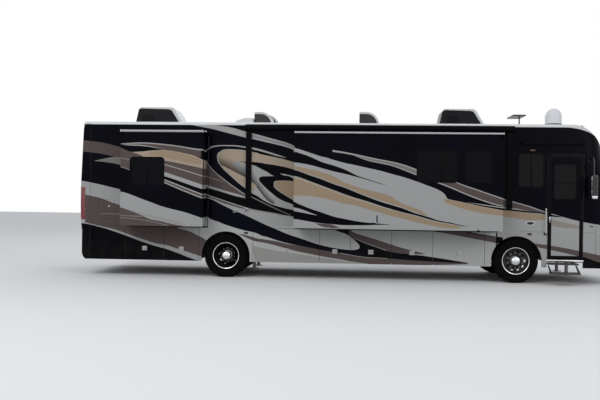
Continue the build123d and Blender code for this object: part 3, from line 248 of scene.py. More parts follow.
rear_slide = [
    (silver, [(-4.93, 2.935, 2.928), (-4.75, 2.95, 2.9), (-4.5, 2.965, 2.892), (-4.25, 2.96, 2.868),
        (-4.0, 2.94, 2.827), (-3.9, 2.93, 2.82)]),
    (taupe, [(-4.9, 2.925, 2.92), (-4.5, 2.94, 2.915), (-4.25, 2.935, 2.885), (-4.0, 2.918, 2.83),
        (-3.75, 2.9, 2.795), (-3.5, 2.868, 2.747), (-3.25, 2.835, 2.68), (-3.13, 2.82, 2.655)]),
    (silver, [(-4.1, 2.95, 2.925), (-3.75, 2.916, 2.893), (-3.5, 2.88, 2.855), (-3.25, 2.844, 2.815),
        (-3.09, 2.83, 2.8)]),
    (taupe, [(-5.0, 2.876, 2.46), (-4.9, 2.843, 2.43), (-4.75, 2.78, 2.38), (-4.6, 2.747, 2.33),
        (-4.5, 2.71, 2.3), (-4.35, 2.65, 2.27)]),
    (grey, [(-5.0, 2.668, 2.648), (-4.9, 2.64, 2.615), (-4.7, 2.595, 2.57)]),
    (grey, [(-5.0, 2.47, 2.45), (-4.9, 2.445, 2.42), (-4.7, 2.375, 2.355)]),
    (cream, [(-4.65, 2.752, 2.748), (-4.5, 2.765, 2.705), (-4.35, 2.778, 2.642), (-4.1, 2.8, 2.634),
        (-4.0, 2.81, 2.62), (-3.95, 2.815, 2.577), (-3.75, 2.79, 2.545), (-3.5, 2.74, 2.497),
        (-3.25, 2.677, 2.448), (-3.09, 2.6, 2.413)]),
    (tan, [(-4.3, 2.74, 2.7), (-4.0, 2.79, 2.66), (-3.75, 2.78, 2.6), (-3.5, 2.72, 2.55),
        (-3.25, 2.655, 2.5), (-3.12, 2.6, 2.49)]),
    (taupe, [(-3.97, 2.577, 2.343), (-3.75, 2.545, 2.27), (-3.5, 2.497, 2.19), (-3.25, 2.448, 2.11),
        (-3.09, 2.413, 2.053)]),
    (silver, [(-3.97, 2.512, 2.49), (-3.5, 2.378, 2.358), (-3.09, 2.257, 2.237)]),
    (white, [(-3.97, 2.343, 2.247), (-3.75, 2.27, 2.182), (-3.5, 2.19, 2.097), (-3.25, 2.11, 2.013),
        (-3.09, 2.053, 1.965)]),
    (taupe, [(-3.97, 2.17, 2.1), (-3.5, 1.99, 1.925), (-3.09, 1.835, 1.77)]),
    (silver, [(-3.97, 2.187, 2.158), (-3.5, 2.01, 1.982), (-3.09, 1.858, 1.828)]),
    (silver, [(-3.97, 2.13, 2.102), (-3.5, 1.938, 1.91), (-3.09, 1.785, 1.757)]),
    (taupe, [(-4.95, 1.55, 1.0), (-4.75, 1.497, 1.0), (-4.5, 1.408, 1.0), (-4.25, 1.303, 1.0),
        (-4.0, 1.255, 1.0), (-3.75, 1.198, 1.0), (-3.45, 1.15, 1.0)]),
    (grey, [(-4.95, 1.388, 1.37), (-4.75, 1.372, 1.355), (-4.5, 1.37, 1.34), (-4.4, 1.36, 1.34)]),
    (grey, [(-4.95, 1.335, 1.315), (-4.75, 1.32, 1.302), (-4.5, 1.3, 1.28), (-4.2, 1.255, 1.235),
        (-3.95, 1.2, 1.175), (-3.85, 1.175, 1.155)]),
    (white, [(-4.95, 1.9, 1.56), (-4.75, 1.852, 1.497), (-4.5, 1.763, 1.408), (-4.25, 1.674, 1.303),
        (-4.0, 1.585, 1.255), (-3.75, 1.52, 1.198), (-3.5, 1.464, 1.155), (-3.25, 1.387, 1.1),
        (-3.05, 1.32, 1.1)]),
    (pearl, [(-4.7, 1.5, 1.475), (-4.4, 1.42, 1.385), (-4.0, 1.335, 1.28), (-3.7, 1.27, 1.205),
        (-3.45, 1.2, 1.165)]),
]
middle_wall = [
    (white, [(-3.5, 3.43, 3.4125), (-3.25, 3.425, 3.37), (-3.0, 3.42, 3.325), (-2.75, 3.385, 3.2625),
        (-2.5, 3.3425, 3.2), (-2.25, 3.2725, 3.1375), (-2.0, 3.2125, 3.0875), (-1.75, 3.145, 3.03),
        (-1.5, 3.08, 2.975), (-1.25, 3.005, 2.905), (-1.08, 2.92, 2.83)]),
    (silver, [(-3.4, 3.402, 3.395), (-3.0, 3.395, 3.35), (-2.7, 3.352, 3.29), (-2.5, 3.3, 3.255),
        (-2.4, 3.265, 3.25)]),
    (grey, [(-2.25, 3.215, 3.2), (-2.0, 3.162, 3.14), (-1.75, 3.1, 3.077), (-1.5, 3.04, 3.017),
        (-1.25, 2.967, 2.944), (-1.08, 2.887, 2.866)]),
    # The lens-shaped field with its fine light rim
    (navy, [(-3.12, 3.0, 2.62), (-2.9, 3.08, 2.4), (-2.6, 3.1, 2.1), (-2.3, 3.05, 1.92), (-2.05, 3.0, 1.8)]),
    (silver, [(-3.1, 2.862, 2.842), (-3.0, 2.93, 2.897), (-2.9, 2.952, 2.925), (-2.75, 2.963, 2.94),
        (-2.5, 2.963, 2.938), (-2.25, 2.935, 2.905), (-2.0, 2.9, 2.855), (-1.75, 2.832, 2.792),
        (-1.5, 2.757, 2.722), (-1.33, 2.7, 2.695)]),
    (dark, [(-2.6, 2.91, 2.905), (-2.25, 2.878, 2.85), (-2.0, 2.85, 2.79), (-1.75, 2.79, 2.74),
        (-1.5, 2.72, 2.69), (-1.2, 2.65, 2.63)]),
    (silver, [(-2.876, 2.71, 2.69), (-2.868, 2.757, 2.633), (-2.852, 2.786, 2.586), (-2.8, 2.82, 2.508),
        (-2.75, 2.852, 2.444), (-2.6, 2.873, 2.306), (-2.5, 2.871, 2.218), (-2.4, 2.866, 2.13),
        (-2.25, 2.85, 2.016), (-2.1, 2.825, 1.908), (-2.0, 2.8, 1.84), (-1.95, 2.793, 1.815)]),
    (cream, [(-2.862, 2.71, 2.69), (-2.855, 2.745, 2.645), (-2.84, 2.77, 2.6), (-2.8, 2.805, 2.525),
        (-2.75, 2.8375, 2.4625), (-2.6, 2.86, 2.325), (-2.5, 2.858, 2.2375), (-2.4, 2.853, 2.15),
        (-2.25, 2.8375, 2.0375), (-2.1, 2.812, 1.93), (-2.0, 2.7875, 1.865), (-1.95, 2.78, 1.84)]),
    (cream, [(-2.0, 2.7875, 2.5875), (-1.75, 2.7375, 2.55), (-1.5, 2.6875, 2.5125), (-1.25, 2.625, 2.4625),
        (-1.08, 2.575, 2.4)]),
    (white, [(-2.1, 2.52, 1.93), (-2.0, 2.5, 1.86), (-1.92, 2.462, 1.8), (-1.75, 2.375, 1.705),
        (-1.6, 2.2875, 1.64), (-1.5, 2.262, 1.61), (-1.25, 2.2, 1.552), (-1.08, 2.2, 1.52)]),
    (white, [(-2.5, 2.6, 2.5), (-2.35, 2.58, 2.36), (-2.2, 2.52, 2.26), (-2.05, 2.5, 2.14)]),
    (fade, [(-2.835, 2.72, 2.66), (-2.81, 2.739, 2.556), (-2.691, 2.71, 2.48), (-2.507, 2.66, 2.388),
        (-2.323, 2.6, 2.293), (-2.139, 2.5, 2.19), (-1.973, 2.289, 2.03), (-1.789, 2.02, 1.8),
        (-1.642, 1.84, 1.68), (-1.56, 1.74, 1.66)]),
    (cream, [(-2.12, 2.17, 1.95), (-2.03, 2.11, 1.965), (-1.975, 2.06, 2.02)]),
    (dark, [(-2.37, 2.607, 2.603), (-2.22, 2.59, 2.565), (-2.0, 2.5875, 2.5), (-1.9, 2.575, 2.45),
        (-1.75, 2.55, 2.375), (-1.6, 2.53, 2.2875), (-1.55, 2.52, 2.262), (-1.25, 2.4625, 2.19),
        (-1.08, 2.41, 2.14)]),
    (white, [(-1.45, 2.342, 2.336), (-1.3, 2.32, 2.265), (-1.14, 2.282, 2.2), (-1.08, 2.27, 2.19)]),
    # Hook
    (dark, [(-1.922, 2.225, 2.2), (-1.91, 2.245, 2.17), (-1.88, 2.262, 2.13), (-1.75, 2.275, 2.0),
        (-1.6, 2.28, 1.875), (-1.5, 2.28, 1.8), (-1.25, 2.28, 1.6875), (-1.08, 2.19, 1.62)]),
    (silver, [(-1.592, 2.115, 2.085), (-1.584, 2.146, 2.045), (-1.552, 2.17, 2.005), (-1.48, 2.18, 1.947),
        (-1.36, 2.183, 1.872), (-1.25, 2.182, 1.807), (-1.14, 2.182, 1.745), (-1.08, 2.25, 1.712)]),
    (tan, [(-1.578, 2.115, 2.085), (-1.57, 2.14, 2.055), (-1.54, 2.163, 2.02), (-1.48, 2.172, 1.965),
        (-1.36, 2.176, 1.89), (-1.25, 2.176, 1.825), (-1.14, 2.176, 1.7625), (-1.08, 2.25, 1.73)]),
    # Below the hook
    (dark, [(-2.2, 1.92, 1.53), (-2.0, 1.855, 1.5), (-1.75, 1.7, 1.46), (-1.55, 1.625, 1.43),
        (-1.25, 1.55, 1.385), (-1.08, 1.53, 1.35)]),
    (grey, [(-2.1, 1.83, 1.805), (-2.0, 1.782, 1.757), (-1.75, 1.662, 1.64), (-1.5, 1.548, 1.528),
        (-1.2, 1.42, 1.41)]),
    (taupe, [(-3.12, 2.6, 2.02), (-3.0, 2.45, 2.0), (-2.9, 2.35, 1.98), (-2.75, 2.235, 1.94),
        (-2.5, 2.05, 1.87), (-2.25, 1.885, 1.81), (-2.19, 1.85, 1.8)]),
    (silver, [(-3.12, 2.6, 2.575), (-3.0, 2.45, 2.427), (-2.9, 2.352, 2.33), (-2.75, 2.232, 2.208),
        (-2.5, 2.05, 2.025), (-2.25, 1.888, 1.865), (-2.17, 1.843, 1.835)]),
    (grey, [(-3.12, 2.27, 2.24), (-2.9, 2.21, 2.185), (-2.7, 2.145, 2.13)]),
    (white, [(-3.12, 2.08, 2.017), (-3.0, 2.0375, 1.98), (-2.75, 1.9625, 1.9125), (-2.5, 1.895, 1.8375),
        (-2.25, 1.825, 1.785), (-2.17, 1.79, 1.775)]),
    (dark, [(-3.12, 2.01, 1.79), (-3.0, 1.98, 1.76), (-2.75, 1.9125, 1.68), (-2.5, 1.8375, 1.6),
        (-2.25, 1.785, 1.54), (-2.05, 1.77, 1.51)]),
    (taupe, [(-3.12, 1.86, 1.8), (-2.75, 1.74, 1.69), (-2.5, 1.66, 1.61), (-2.08, 1.54, 1.5),
        (-1.6, 1.455, 1.43), (-1.14, 1.37, 1.36)]),
    (silver, [(-3.12, 1.868, 1.845), (-3.0, 1.825, 1.803), (-2.75, 1.742, 1.72), (-2.5, 1.662, 1.64),
        (-2.25, 1.588, 1.567), (-2.05, 1.535, 1.518), (-1.6, 1.462, 1.45), (-1.14, 1.38, 1.372)]),
    (white, [(-3.12, 1.79, 1.785), (-3.0, 1.775, 1.745), (-2.75, 1.68, 1.625), (-2.5, 1.603, 1.5125),
        (-2.25, 1.54, 1.4125), (-2.08, 1.5125, 1.3375), (-2.0, 1.5, 1.3), (-1.75, 1.4625, 1.1875),
        (-1.5, 1.425, 1.0875), (-1.25, 1.3875, 1.05), (-1.05, 1.35, 1.05)]),
    (navy, [(-3.12, 1.78, 1.345), (-3.0, 1.745, 1.3), (-2.75, 1.625, 1.2125), (-2.5, 1.5125, 1.13),
        (-2.25, 1.4125, 1.0625), (-2.08, 1.3375, 1.0375)]),
]
front_slide = [
    (white, [(-1.15, 2.9, 2.56), (-1.085, 2.876, 2.4), (-1.0, 2.85, 2.376), (-0.75, 2.77, 2.287),
        (-0.5, 2.69, 2.206), (-0.46, 2.685, 2.19), (-0.25, 2.625, 2.11), (0, 2.56, 2.03), (0.25, 2.51, 1.93),
        (0.5, 2.456, 1.835), (0.8, 2.39, 1.73), (1.0, 2.335, 1.674), (1.25, 2.27, 1.6), (1.5, 2.19, 1.505),
        (1.75, 2.1, 1.435), (2.0, 2.0, 1.36), (2.09, 1.94, 1.345), (2.13, 1.9, 1.335), (2.15, 1.85, 1.33),
        (2.25, 1.803, 1.32), (2.5, 1.755, 1.255), (2.75, 1.7, 1.2), (3.0, 1.654, 1.1), (3.45, 1.575, 1.1)]),
    (dark, [(-1.15, 2.81, 2.575), (-1.085, 2.795, 2.564), (-1.0, 2.77, 2.553), (-0.75, 2.685, 2.51),
        (-0.5, 2.577, 2.445), (-0.25, 2.505, 2.38), (0, 2.416, 2.327), (0.25, 2.297, 2.265),
        (0.5, 2.215, 2.198), (0.75, 2.137, 2.125), (0.86, 2.108, 2.104)]),
    (tan, [(-1.1, 2.49, 2.42), (-0.5, 2.36, 2.225), (-0.25, 2.275, 2.13), (0, 2.14, 2.05),
        (0.5, 1.985, 1.855), (0.9, 1.89, 1.725), (1.25, 1.7, 1.62), (1.6, 1.57, 1.49), (1.75, 1.46, 1.45)]),
    (dark, [(-1.15, 2.42, 2.29), (-1.085, 2.4, 2.27), (-1.0, 2.376, 2.25), (-0.75, 2.287, 2.16),
        (-0.5, 2.206, 2.07), (-0.25, 2.11, 1.98), (0, 2.03, 1.89), (0.25, 1.93, 1.81), (0.5, 1.835, 1.74),
        (0.75, 1.747, 1.658), (1.0, 1.67, 1.585), (1.25, 1.598, 1.52), (1.5, 1.508, 1.465),
        (1.75, 1.438, 1.395), (2.0, 1.36, 1.335), (2.25, 1.315, 1.295), (2.5, 1.262, 1.248),
        (2.66, 1.238, 1.234)]),
    (white, [(-1.15, 2.29, 1.72), (-1.085, 2.27, 1.715), (-1.0, 2.25, 1.674), (-0.75, 2.16, 1.577),
        (-0.5, 2.07, 1.497), (-0.25, 1.98, 1.416), (0, 1.89, 1.364), (0.25, 1.81, 1.32), (0.5, 1.74, 1.29),
        (0.75, 1.658, 1.274), (1.0, 1.585, 1.1), (1.25, 1.52, 1.1), (1.5, 1.465, 1.1), (1.75, 1.395, 1.1),
        (2.0, 1.335, 1.1), (2.25, 1.295, 1.1), (2.5, 1.248, 1.1), (2.7, 1.234, 1.1), (2.8, 1.2, 1.1)]),
    (tan, [(-1.15, 2.275, 1.85), (-1.085, 2.255, 1.85), (-1.0, 2.235, 1.85), (-0.75, 2.145, 1.845),
        (-0.5, 2.055, 1.81), (-0.25, 1.965, 1.755), (0, 1.875, 1.69), (0.25, 1.795, 1.65),
        (0.5, 1.725, 1.577), (0.75, 1.643, 1.51), (1.0, 1.57, 1.44), (1.25, 1.505, 1.384), (1.5, 1.45, 1.32),
        (1.75, 1.38, 1.27), (2.0, 1.322, 1.22), (2.25, 1.282, 1.2), (2.45, 1.24, 1.2)]),
    (cream, [(-1.15, 2.272, 2.235), (-1.0, 2.232, 2.2), (-0.5, 2.052, 2.025), (0, 1.873, 1.85),
        (0.5, 1.723, 1.7), (1.0, 1.568, 1.55)]),
    (dark, [(-1.15, 1.7, 1.5), (-1.085, 1.715, 1.343), (-1.0, 1.674, 1.33), (-0.75, 1.577, 1.29),
        (-0.5, 1.497, 1.263), (-0.25, 1.416, 1.247), (0, 1.364, 1.23), (0.25, 1.32, 1.232),
        (0.5, 1.29, 1.238), (0.75, 1.274, 1.25), (0.97, 1.262, 1.258)]),
    (white, [(-1.15, 1.6, 1.53), (-1.085, 1.594, 1.516), (-1.0, 1.577, 1.5), (-0.85, 1.53, 1.475),
        (-0.7, 1.475, 1.447), (-0.59, 1.437, 1.433)]),
    (white, [(-1.15, 1.343, 1.1), (-1.085, 1.343, 1.1), (-0.9, 1.32, 1.1), (-0.7, 1.287, 1.1),
        (-0.5, 1.263, 1.1), (-0.25, 1.247, 1.1), (0, 1.23, 1.1), (0.25, 1.232, 1.1), (0.5, 1.238, 1.1),
        (0.75, 1.25, 1.1), (1.0, 1.25, 1.1)]),
    (taupe, [(-0.62, 1.262, 1.255), (-0.5, 1.255, 1.2), (-0.3, 1.245, 1.165), (-0.15, 1.19, 1.165),
        (-0.1, 1.168, 1.165)]),
    (grey, [(-0.28, 2.84, 2.8), (0, 2.795, 2.758), (0.25, 2.747, 2.706), (0.5, 2.694, 2.61),
        (0.75, 2.645, 2.56), (1.0, 2.6, 2.505), (1.25, 2.537, 2.416), (1.5, 2.448, 2.32),
        (1.53, 2.44, 2.31)]),
    (silver, [(-0.28, 2.84, 2.8), (0, 2.795, 2.765), (0.25, 2.747, 2.72), (0.5, 2.694, 2.668),
        (0.75, 2.645, 2.62), (1.0, 2.6, 2.577), (1.25, 2.537, 2.513), (1.53, 2.44, 2.41)]),
    (silver, [(0.2, 2.72, 2.715), (0.5, 2.63, 2.61), (0.75, 2.58, 2.56), (1.0, 2.525, 2.505),
        (1.25, 2.438, 2.416), (1.53, 2.335, 2.31)]),
    (silver, [(1.507, 2.447, 2.317), (1.53, 2.44, 2.31)]),
    (taupe, [(1.93, 2.186, 2.17), (2.25, 2.184, 2.045), (2.35, 2.182, 2.005), (2.5, 2.126, 1.94),
        (2.75, 2.045, 1.843), (3.0, 1.96, 1.758), (3.25, 1.876, 1.69), (3.45, 1.81, 1.665)]),
    (silver, [(1.93, 2.186, 2.17), (2.0, 2.165, 2.142), (2.25, 2.072, 2.045), (2.5, 1.967, 1.94),
        (2.75, 1.868, 1.843), (3.0, 1.783, 1.758), (3.25, 1.712, 1.69), (3.45, 1.685, 1.665)]),
    (silver, [(2.33, 2.19, 2.175), (2.5, 2.126, 2.104), (2.75, 2.045, 2.022), (3.0, 1.96, 1.937),
        (3.25, 1.876, 1.853), (3.45, 1.81, 1.79)]),
    (cream, [(2.09, 1.83, 1.75), (2.25, 1.803, 1.69), (2.5, 1.755, 1.61), (2.75, 1.7, 1.545),
        (3.0, 1.654, 1.505), (3.45, 1.575, 1.46)]),
    (tan, [(2.12, 1.815, 1.765), (2.25, 1.788, 1.705), (2.5, 1.74, 1.625), (2.75, 1.682, 1.56),
        (3.0, 1.635, 1.52), (3.45, 1.555, 1.475)]),
    (silver, [(2.6, 1.752, 1.748), (3.0, 1.705, 1.685), (3.25, 1.672, 1.652), (3.45, 1.652, 1.632)]),
]
# Luggage doors and skirt: a lit copy of the white, then the sweeps that run on from the walls, and painted
# shadow lines under the slide-out rooms
low_side = [
    (bay_white_lit_copy, [(-3.75, 1.155, 1.09), (-3.7, 1.155, 1.075), (-3.5, 1.155, 1.025), (-3.25, 1.155, 0.9125),
        (-3.12, 1.345, 0.84), (-3.0, 1.3, 0.74), (-2.75, 1.2125, 0.3), (-2.5, 1.13, 0.3),
        (-2.25, 1.0625, 0.3), (-2.0, 1.0125, 0.3), (-1.75, 0.93, 0.3), (-1.5, 1.16, 0.3), (0.0, 1.16, 0.3),
        (3.3, 1.16, 0.3)]),
    (pearl, [(-2.05, 0.7, 0.66), (-1.95, 0.7, 0.3), (-1.0, 0.55, 0.3), (0.0, 0.42, 0.3), (0.55, 0.35, 0.3)]),
    # Painted shadow: dark lines on the wall just under the front and rear slide-out rooms
    (dark, [(-1.1, 1.131, 1.106), (3.34, 1.131, 1.106)]),
    (dark, [(-4.91, 1.131, 1.106), (-3.07, 1.131, 1.106)]),
    (navy, [(-2.1, 1.34, 1.045), (-2.0, 1.3, 1.0125), (-1.75, 1.1875, 0.93), (-1.5, 1.0875, 0.85),
        (-1.25, 0.9875, 0.7875), (-0.976, 0.903, 0.738), (-0.723, 0.819, 0.693), (-0.47, 0.749, 0.648),
        (-0.217, 0.703, 0.61), (0.036, 0.671, 0.565), (0.162, 0.6656, 0.545), (0.289, 0.681, 0.525),
        (0.33, 0.71, 0.52), (0.345, 0.735, 0.52)]),
    (dark, [(-0.18, 1.16, 1.085), (-0.141, 1.16, 1.072), (0.036, 1.16, 1.012), (0.137, 1.11, 0.951),
        (0.238, 0.96, 0.8645), (0.314, 0.93, 0.79), (0.338, 0.92, 0.735), (0.342, 0.92, 0.52),
        (0.441, 0.88, 0.5), (0.795, 0.75, 0.49), (0.972, 0.7, 0.48), (1.225, 0.63, 0.46), (1.78, 0.56, 0.44),
        (2.3, 0.49, 0.425), (2.7, 0.43, 0.415)]),
    (taupe, [(-2.36, 0.985, 0.975), (-2.25, 0.966, 0.925), (-2.1, 0.93, 0.86), (-2.0, 0.9, 0.825),
        (-1.75, 0.862, 0.785), (-1.5, 0.825, 0.7275), (-1.25, 0.775, 0.66), (-0.976, 0.738, 0.599),
        (-0.723, 0.693, 0.554), (-0.47, 0.648, 0.5085), (-0.091, 0.592, 0.453), (0.112, 0.558, 0.419),
        (0.415, 0.514, 0.378), (0.668, 0.503, 0.35), (0.972, 0.4926, 0.35), (1.5, 0.46, 0.35),
        (2.0, 0.44, 0.37), (2.7, 0.42, 0.4)]),
    (silver, [(-0.09, 0.598, 0.587), (0.112, 0.563, 0.552), (0.415, 0.519, 0.508), (0.7, 0.506, 0.497),
        (0.95, 0.497, 0.49)]),
    (taupe, [(0.09, 1.16, 0.975), (0.137, 1.11, 0.951), (0.2, 1.06, 0.926), (0.441, 0.982, 0.831),
        (0.795, 0.876, 0.711), (0.972, 0.82, 0.652), (1.174, 0.757, 0.615), (1.554, 0.664, 0.6),
        (1.782, 0.605, 0.598)]),
    (silver, [(0.19, 0.938, 0.929), (0.441, 0.838, 0.826), (0.795, 0.718, 0.705), (0.93, 0.672, 0.662)]),
    (dark, [(1.95, 1.16, 1.105), (2.3, 1.16, 1.06), (2.6, 1.13, 1.0), (3.0, 1.06, 0.93), (3.2, 1.03, 0.9),
        (3.45, 1.0, 0.84)]),
    (taupe, [(2.1, 1.12, 1.085), (2.5, 1.12, 1.02), (3.0, 1.04, 0.93), (3.3, 1.0, 0.875)]),
    (taupe, [(-6.2, 1.3, 1.19), (-5.93, 1.26, 1.175), (-5.5, 1.16, 1.09), (-5.07, 1.16, 0.95),
        (-4.75, 1.16, 0.86), (-4.5, 1.16, 0.78), (-4.25, 1.16, 0.7), (-4.0, 1.13, 0.65), (-3.75, 1.09, 0.58),
        (-3.7, 1.075, 0.56), (-3.5, 1.025, 0.5), (-3.25, 0.9125, 0.42), (-3.12, 0.84, 0.38),
        (-3.0, 0.74, 0.35)]),
    (white, [(-6.2, 1.205, 1.175), (-5.93, 1.1875, 1.1625), (-5.5, 1.1, 1.075), (-5.25, 1.05, 1.005),
        (-5.0, 0.975, 0.925), (-4.75, 0.8875, 0.8375), (-4.5, 0.8125, 0.75), (-4.25, 0.7375, 0.675),
        (-4.0, 0.7, 0.6125), (-3.75, 0.625, 0.53), (-3.5, 0.55, 0.4375), (-3.25, 0.475, 0.355),
        (-3.0, 0.4, 0.28)]),
    (dark, [(-6.2, 1.175, 0.2), (-5.93, 1.1625, 0.2), (-5.5, 1.075, 0.2), (-5.25, 1.005, 0.2),
        (-5.0, 0.925, 0.2), (-4.75, 0.8375, 0.2), (-4.5, 0.75, 0.2), (-4.25, 0.675, 0.2),
        (-4.0, 0.6125, 0.2), (-3.75, 0.53, 0.2), (-3.5, 0.4375, 0.2), (-3.25, 0.355, 0.2),
        (-3.1, 0.31, 0.2)]),
]
front_wall = [
    (white, [(3.33, 1.87, 0.3), (3.7, 1.77, 0.3), (4.0, 1.69, 0.3), (4.35, 1.57, 0.3), (4.5, 1.525, 0.3),
        (5.0, 1.39, 0.3), (5.15, 1.36, 0.3), (5.5, 1.3, 0.3), (6.2, 1.22, 0.3)]),
    (taupe, [(3.33, 1.87, 1.66), (3.6, 1.8, 1.645), (3.91, 1.715, 1.6), (4.31, 1.58, 1.535),
        (4.5, 1.52, 1.505), (4.7, 1.47, 1.465)]),
    (silver, [(3.33, 1.878, 1.853), (3.7, 1.778, 1.755), (4.0, 1.695, 1.672), (4.35, 1.575, 1.555),
        (4.5, 1.53, 1.51), (5.0, 1.395, 1.378), (5.5, 1.305, 1.29), (6.2, 1.225, 1.215)]),
    (silver, [(3.33, 1.67, 1.648), (3.6, 1.646, 1.622), (3.75, 1.63, 1.61), (3.9, 1.6, 1.598)]),
    (dark, [(3.33, 1.648, 1.605), (3.6, 1.62, 1.585), (3.91, 1.59, 1.555), (4.31, 1.545, 1.52),
        (4.5, 1.508, 1.47), (4.6, 1.49, 1.462), (4.72, 1.462, 1.46)]),
    (tan, [(3.33, 1.605, 1.46), (3.6, 1.583, 1.435), (3.91, 1.551, 1.39), (4.2, 1.522, 1.385),
        (4.4, 1.5, 1.4)]),
    (sand, [(4.38, 1.44, 1.3), (4.6, 1.38, 1.25), (5.1, 1.27, 1.225), (5.2, 1.24, 1.235)]),
    (taupe, [(3.9, 0.93, 0.9), (4.15, 0.88, 0.81), (4.4, 0.85, 0.76), (5.05, 0.74, 0.62), (5.5, 0.65, 0.5),
        (6.2, 0.52, 0.36)]),
    (dark, [(4.6, 0.6, 0.3), (5.05, 0.62, 0.3), (5.5, 0.5, 0.3), (6.2, 0.4, 0.3)]),
]


# Roof edge: place along the length, height of the white, which runs down round the brow
roof_edge = [
    (-6.2, 3.0), (-5.96, 3.2), (-5.93, 3.38), (-5.88, 3.415), (4.6, 3.415), (4.9, 3.4), (5.2, 3.33),
    (5.5, 3.17), (5.7, 2.95), (5.8, 2.85), (6.2, 2.8),
]
edge_end = roof_edge[-1][0]
curve_top = 4
roof_white = (0.70, 0.715, 0.725)


def paint(name, groups, interior, roller_z=9.0):
    """Coach paint: stripes outside, a pale lining inside, grey above a roller's height."""
    made = Nodes(name, 0.22)
    x, y, z = made.axes()
    height = made.math("MULTIPLY", z, 1 / curve_top)
    cloud = made.cloud(3.0, 3.0)
    colour = made.mix(cloud, dark, navy)
    for group in groups:
        for tint, rows in group:
            start, end = rows[0][0], rows[-1][0]
            along = made.math("MULTIPLY_ADD", x, 1 / (end - start), -start / (end - start))
            places = [(row[0] - start) / (end - start) for row in rows]
            middle = made.curve(along, places, [(row[1] + row[2]) / 2 / curve_top for row in rows])
            half = made.curve(along, places, [(row[1] - row[2]) / 2 / curve_top for row in rows])
            band = made.math("COMPARE", height, middle, half)
            reach = made.math("COMPARE", along, 0.5, 0.5)
            if tint == fade:
                rise = made.math("SUBTRACT", height, middle)
                rise = made.math("DIVIDE", rise, made.math("MAXIMUM", half, 0.001))
                reach = made.math("MULTIPLY", reach, made.range(rise, -1.0, 0.9, 1.0, 0.0))
            colour = made.mix(made.math("MULTIPLY", band, reach), colour, tint)
    along = made.math("MULTIPLY_ADD", x, 0.5 / edge_end, 0.5)
    places = [(place + edge_end) / (2 * edge_end) for place, _ in roof_edge]
    edge = made.curve(along, places, [level / curve_top for _, level in roof_edge])
    colour = made.mix(made.math("GREATER_THAN", height, edge), colour, roof_white)
    # Inner faces: a plain pale lining
    normal_x, normal_y, _ = made.axes("Normal")
    outward = made.math("MULTIPLY", y, normal_y)
    ends = made.math("MULTIPLY", made.math("MULTIPLY", x, 0.2), normal_x)
    reach = made.math("ADD", outward, made.math("MULTIPLY", ends, interior))
    lining = made.mix(made.cloud(40.0, 2.0, 0, 1, 0.35, 0.65), (0.30, 0.27, 0.23), (0.34, 0.31, 0.27))
    colour = made.mix(made.math("LESS_THAN", reach, -0.25), colour, lining)
    # Bare grey roller over a slide-out room
    colour = made.mix(made.math("GREATER_THAN", z, roller_z), colour, (0.50, 0.50, 0.51))
    # Road dust on the lowest part
    low = made.range(z, 0.35, 1.1, 0.05, 0)
    dust = made.math("MULTIPLY", low, made.cloud(4.0, 6.0, 0.2, 1, 0.35))
    made.set(Base_Color=made.mix(dust, colour, (0.15, 0.135, 0.12)))
    made.set(Roughness=made.cloud(25.0, 3.0, 0.16, 0.3))
    made.bump(made.noise(220, 2), 0.05, 0.0006)
    made.set(Specular_IOR_Level=0.045, Coat_Weight=0.01, Coat_Roughness=0.06)
    return made.mat


body_paint = paint("body_paint", [rear_wall, rear_slide, middle_wall, front_slide, front_wall, low_side], 1.0)
slide_paint = paint("slide_paint", [rear_slide, front_slide], 0.0, 3.1915)

# Plain materials
white_roof = finish("white_roof", roof_white, 0.35, spread=0.05, grain=30, bump=0.0004, bump_scale=150)
dark_glass = finish(
    "dark_glass", (0.002, 0.0025, 0.004), 0.03, spread=0.05, grain=20, Transmission_Weight=0.10, IOR=1.45,
    Specular_IOR_Level=0.04,
)
cab_glass = finish(
    "cab_glass", (0.004, 0.0045, 0.006), 0.03, spread=0.05, grain=20, Transmission_Weight=0.12, IOR=1.45,
    Specular_IOR_Level=0.10,
)
lamp_glass = finish("lamp_glass", (0.16, 0.165, 0.175), 0.06, spread=0.03, Transmission_Weight=0.25, IOR=1.49)
bulb_glass = finish("bulb_glass", (0.62, 0.64, 0.66), 0.06, spread=0.03, Transmission_Weight=0.3, IOR=1.49)
red_lens = finish(
    "red_lens", (0.22, 0.004, 0.02), 0.12, spread=0.1, grain=200, bump=0.0006, bump_scale=90,
    Coat_Weight=0.4,
)
amber_lens = finish(
    "amber_lens", (0.38, 0.095, 0.014), 0.15, spread=0.1, grain=200, bump=0.0006, bump_scale=90,
)
amber_dim = finish(
    "amber_dim", (0.085, 0.030, 0.010), 0.15, spread=0.1, grain=200, bump=0.0006, bump_scale=90,
)
rubber = finish("black_rubber", (0.008, 0.008, 0.009), 0.6, spread=0.2, grain=80, bump=0.0004)
tyre_rubber = finish(
    "tyre_rubber", (0.0045, 0.0045, 0.005), 0.72, spread=0.2, grain=50, bump=0.0006, bump_scale=260,
    dirt=0.01, Specular_IOR_Level=0.03,
)
frame_steel = finish("frame_steel", (0.014, 0.014, 0.015), 0.5, spread=0.25, grain=40, bump=0.0005, dirt=0.5)
plain_steel = finish(
    "plain_steel", (0.30, 0.30, 0.31), 0.4, 0.8, spread=0.15, grain=70, bump=0.0003, dirt=0.4,
)
cast_iron = finish("cast_iron", (0.07, 0.07, 0.075), 0.6, 0.3, spread=0.25, grain=50, bump=0.001, dirt=0.4)
aluminium = finish(
    "polished_aluminium", (0.72, 0.73, 0.75), 0.16, 1.0, spread=0.06, grain=120, bump=0.0001, dirt=0.12,
)
chrome = finish("chrome", (0.82, 0.83, 0.85), 0.07, 1.0, spread=0.03, grain=90)
grey_sheet = finish("grey_sheet", (0.10, 0.10, 0.105), 0.65, spread=0.2, grain=40, bump=0.0008, dirt=0.4)
tank_plastic = finish("tank_plastic", (0.03, 0.03, 0.032), 0.55, spread=0.2, bump=0.0005, dirt=0.4)
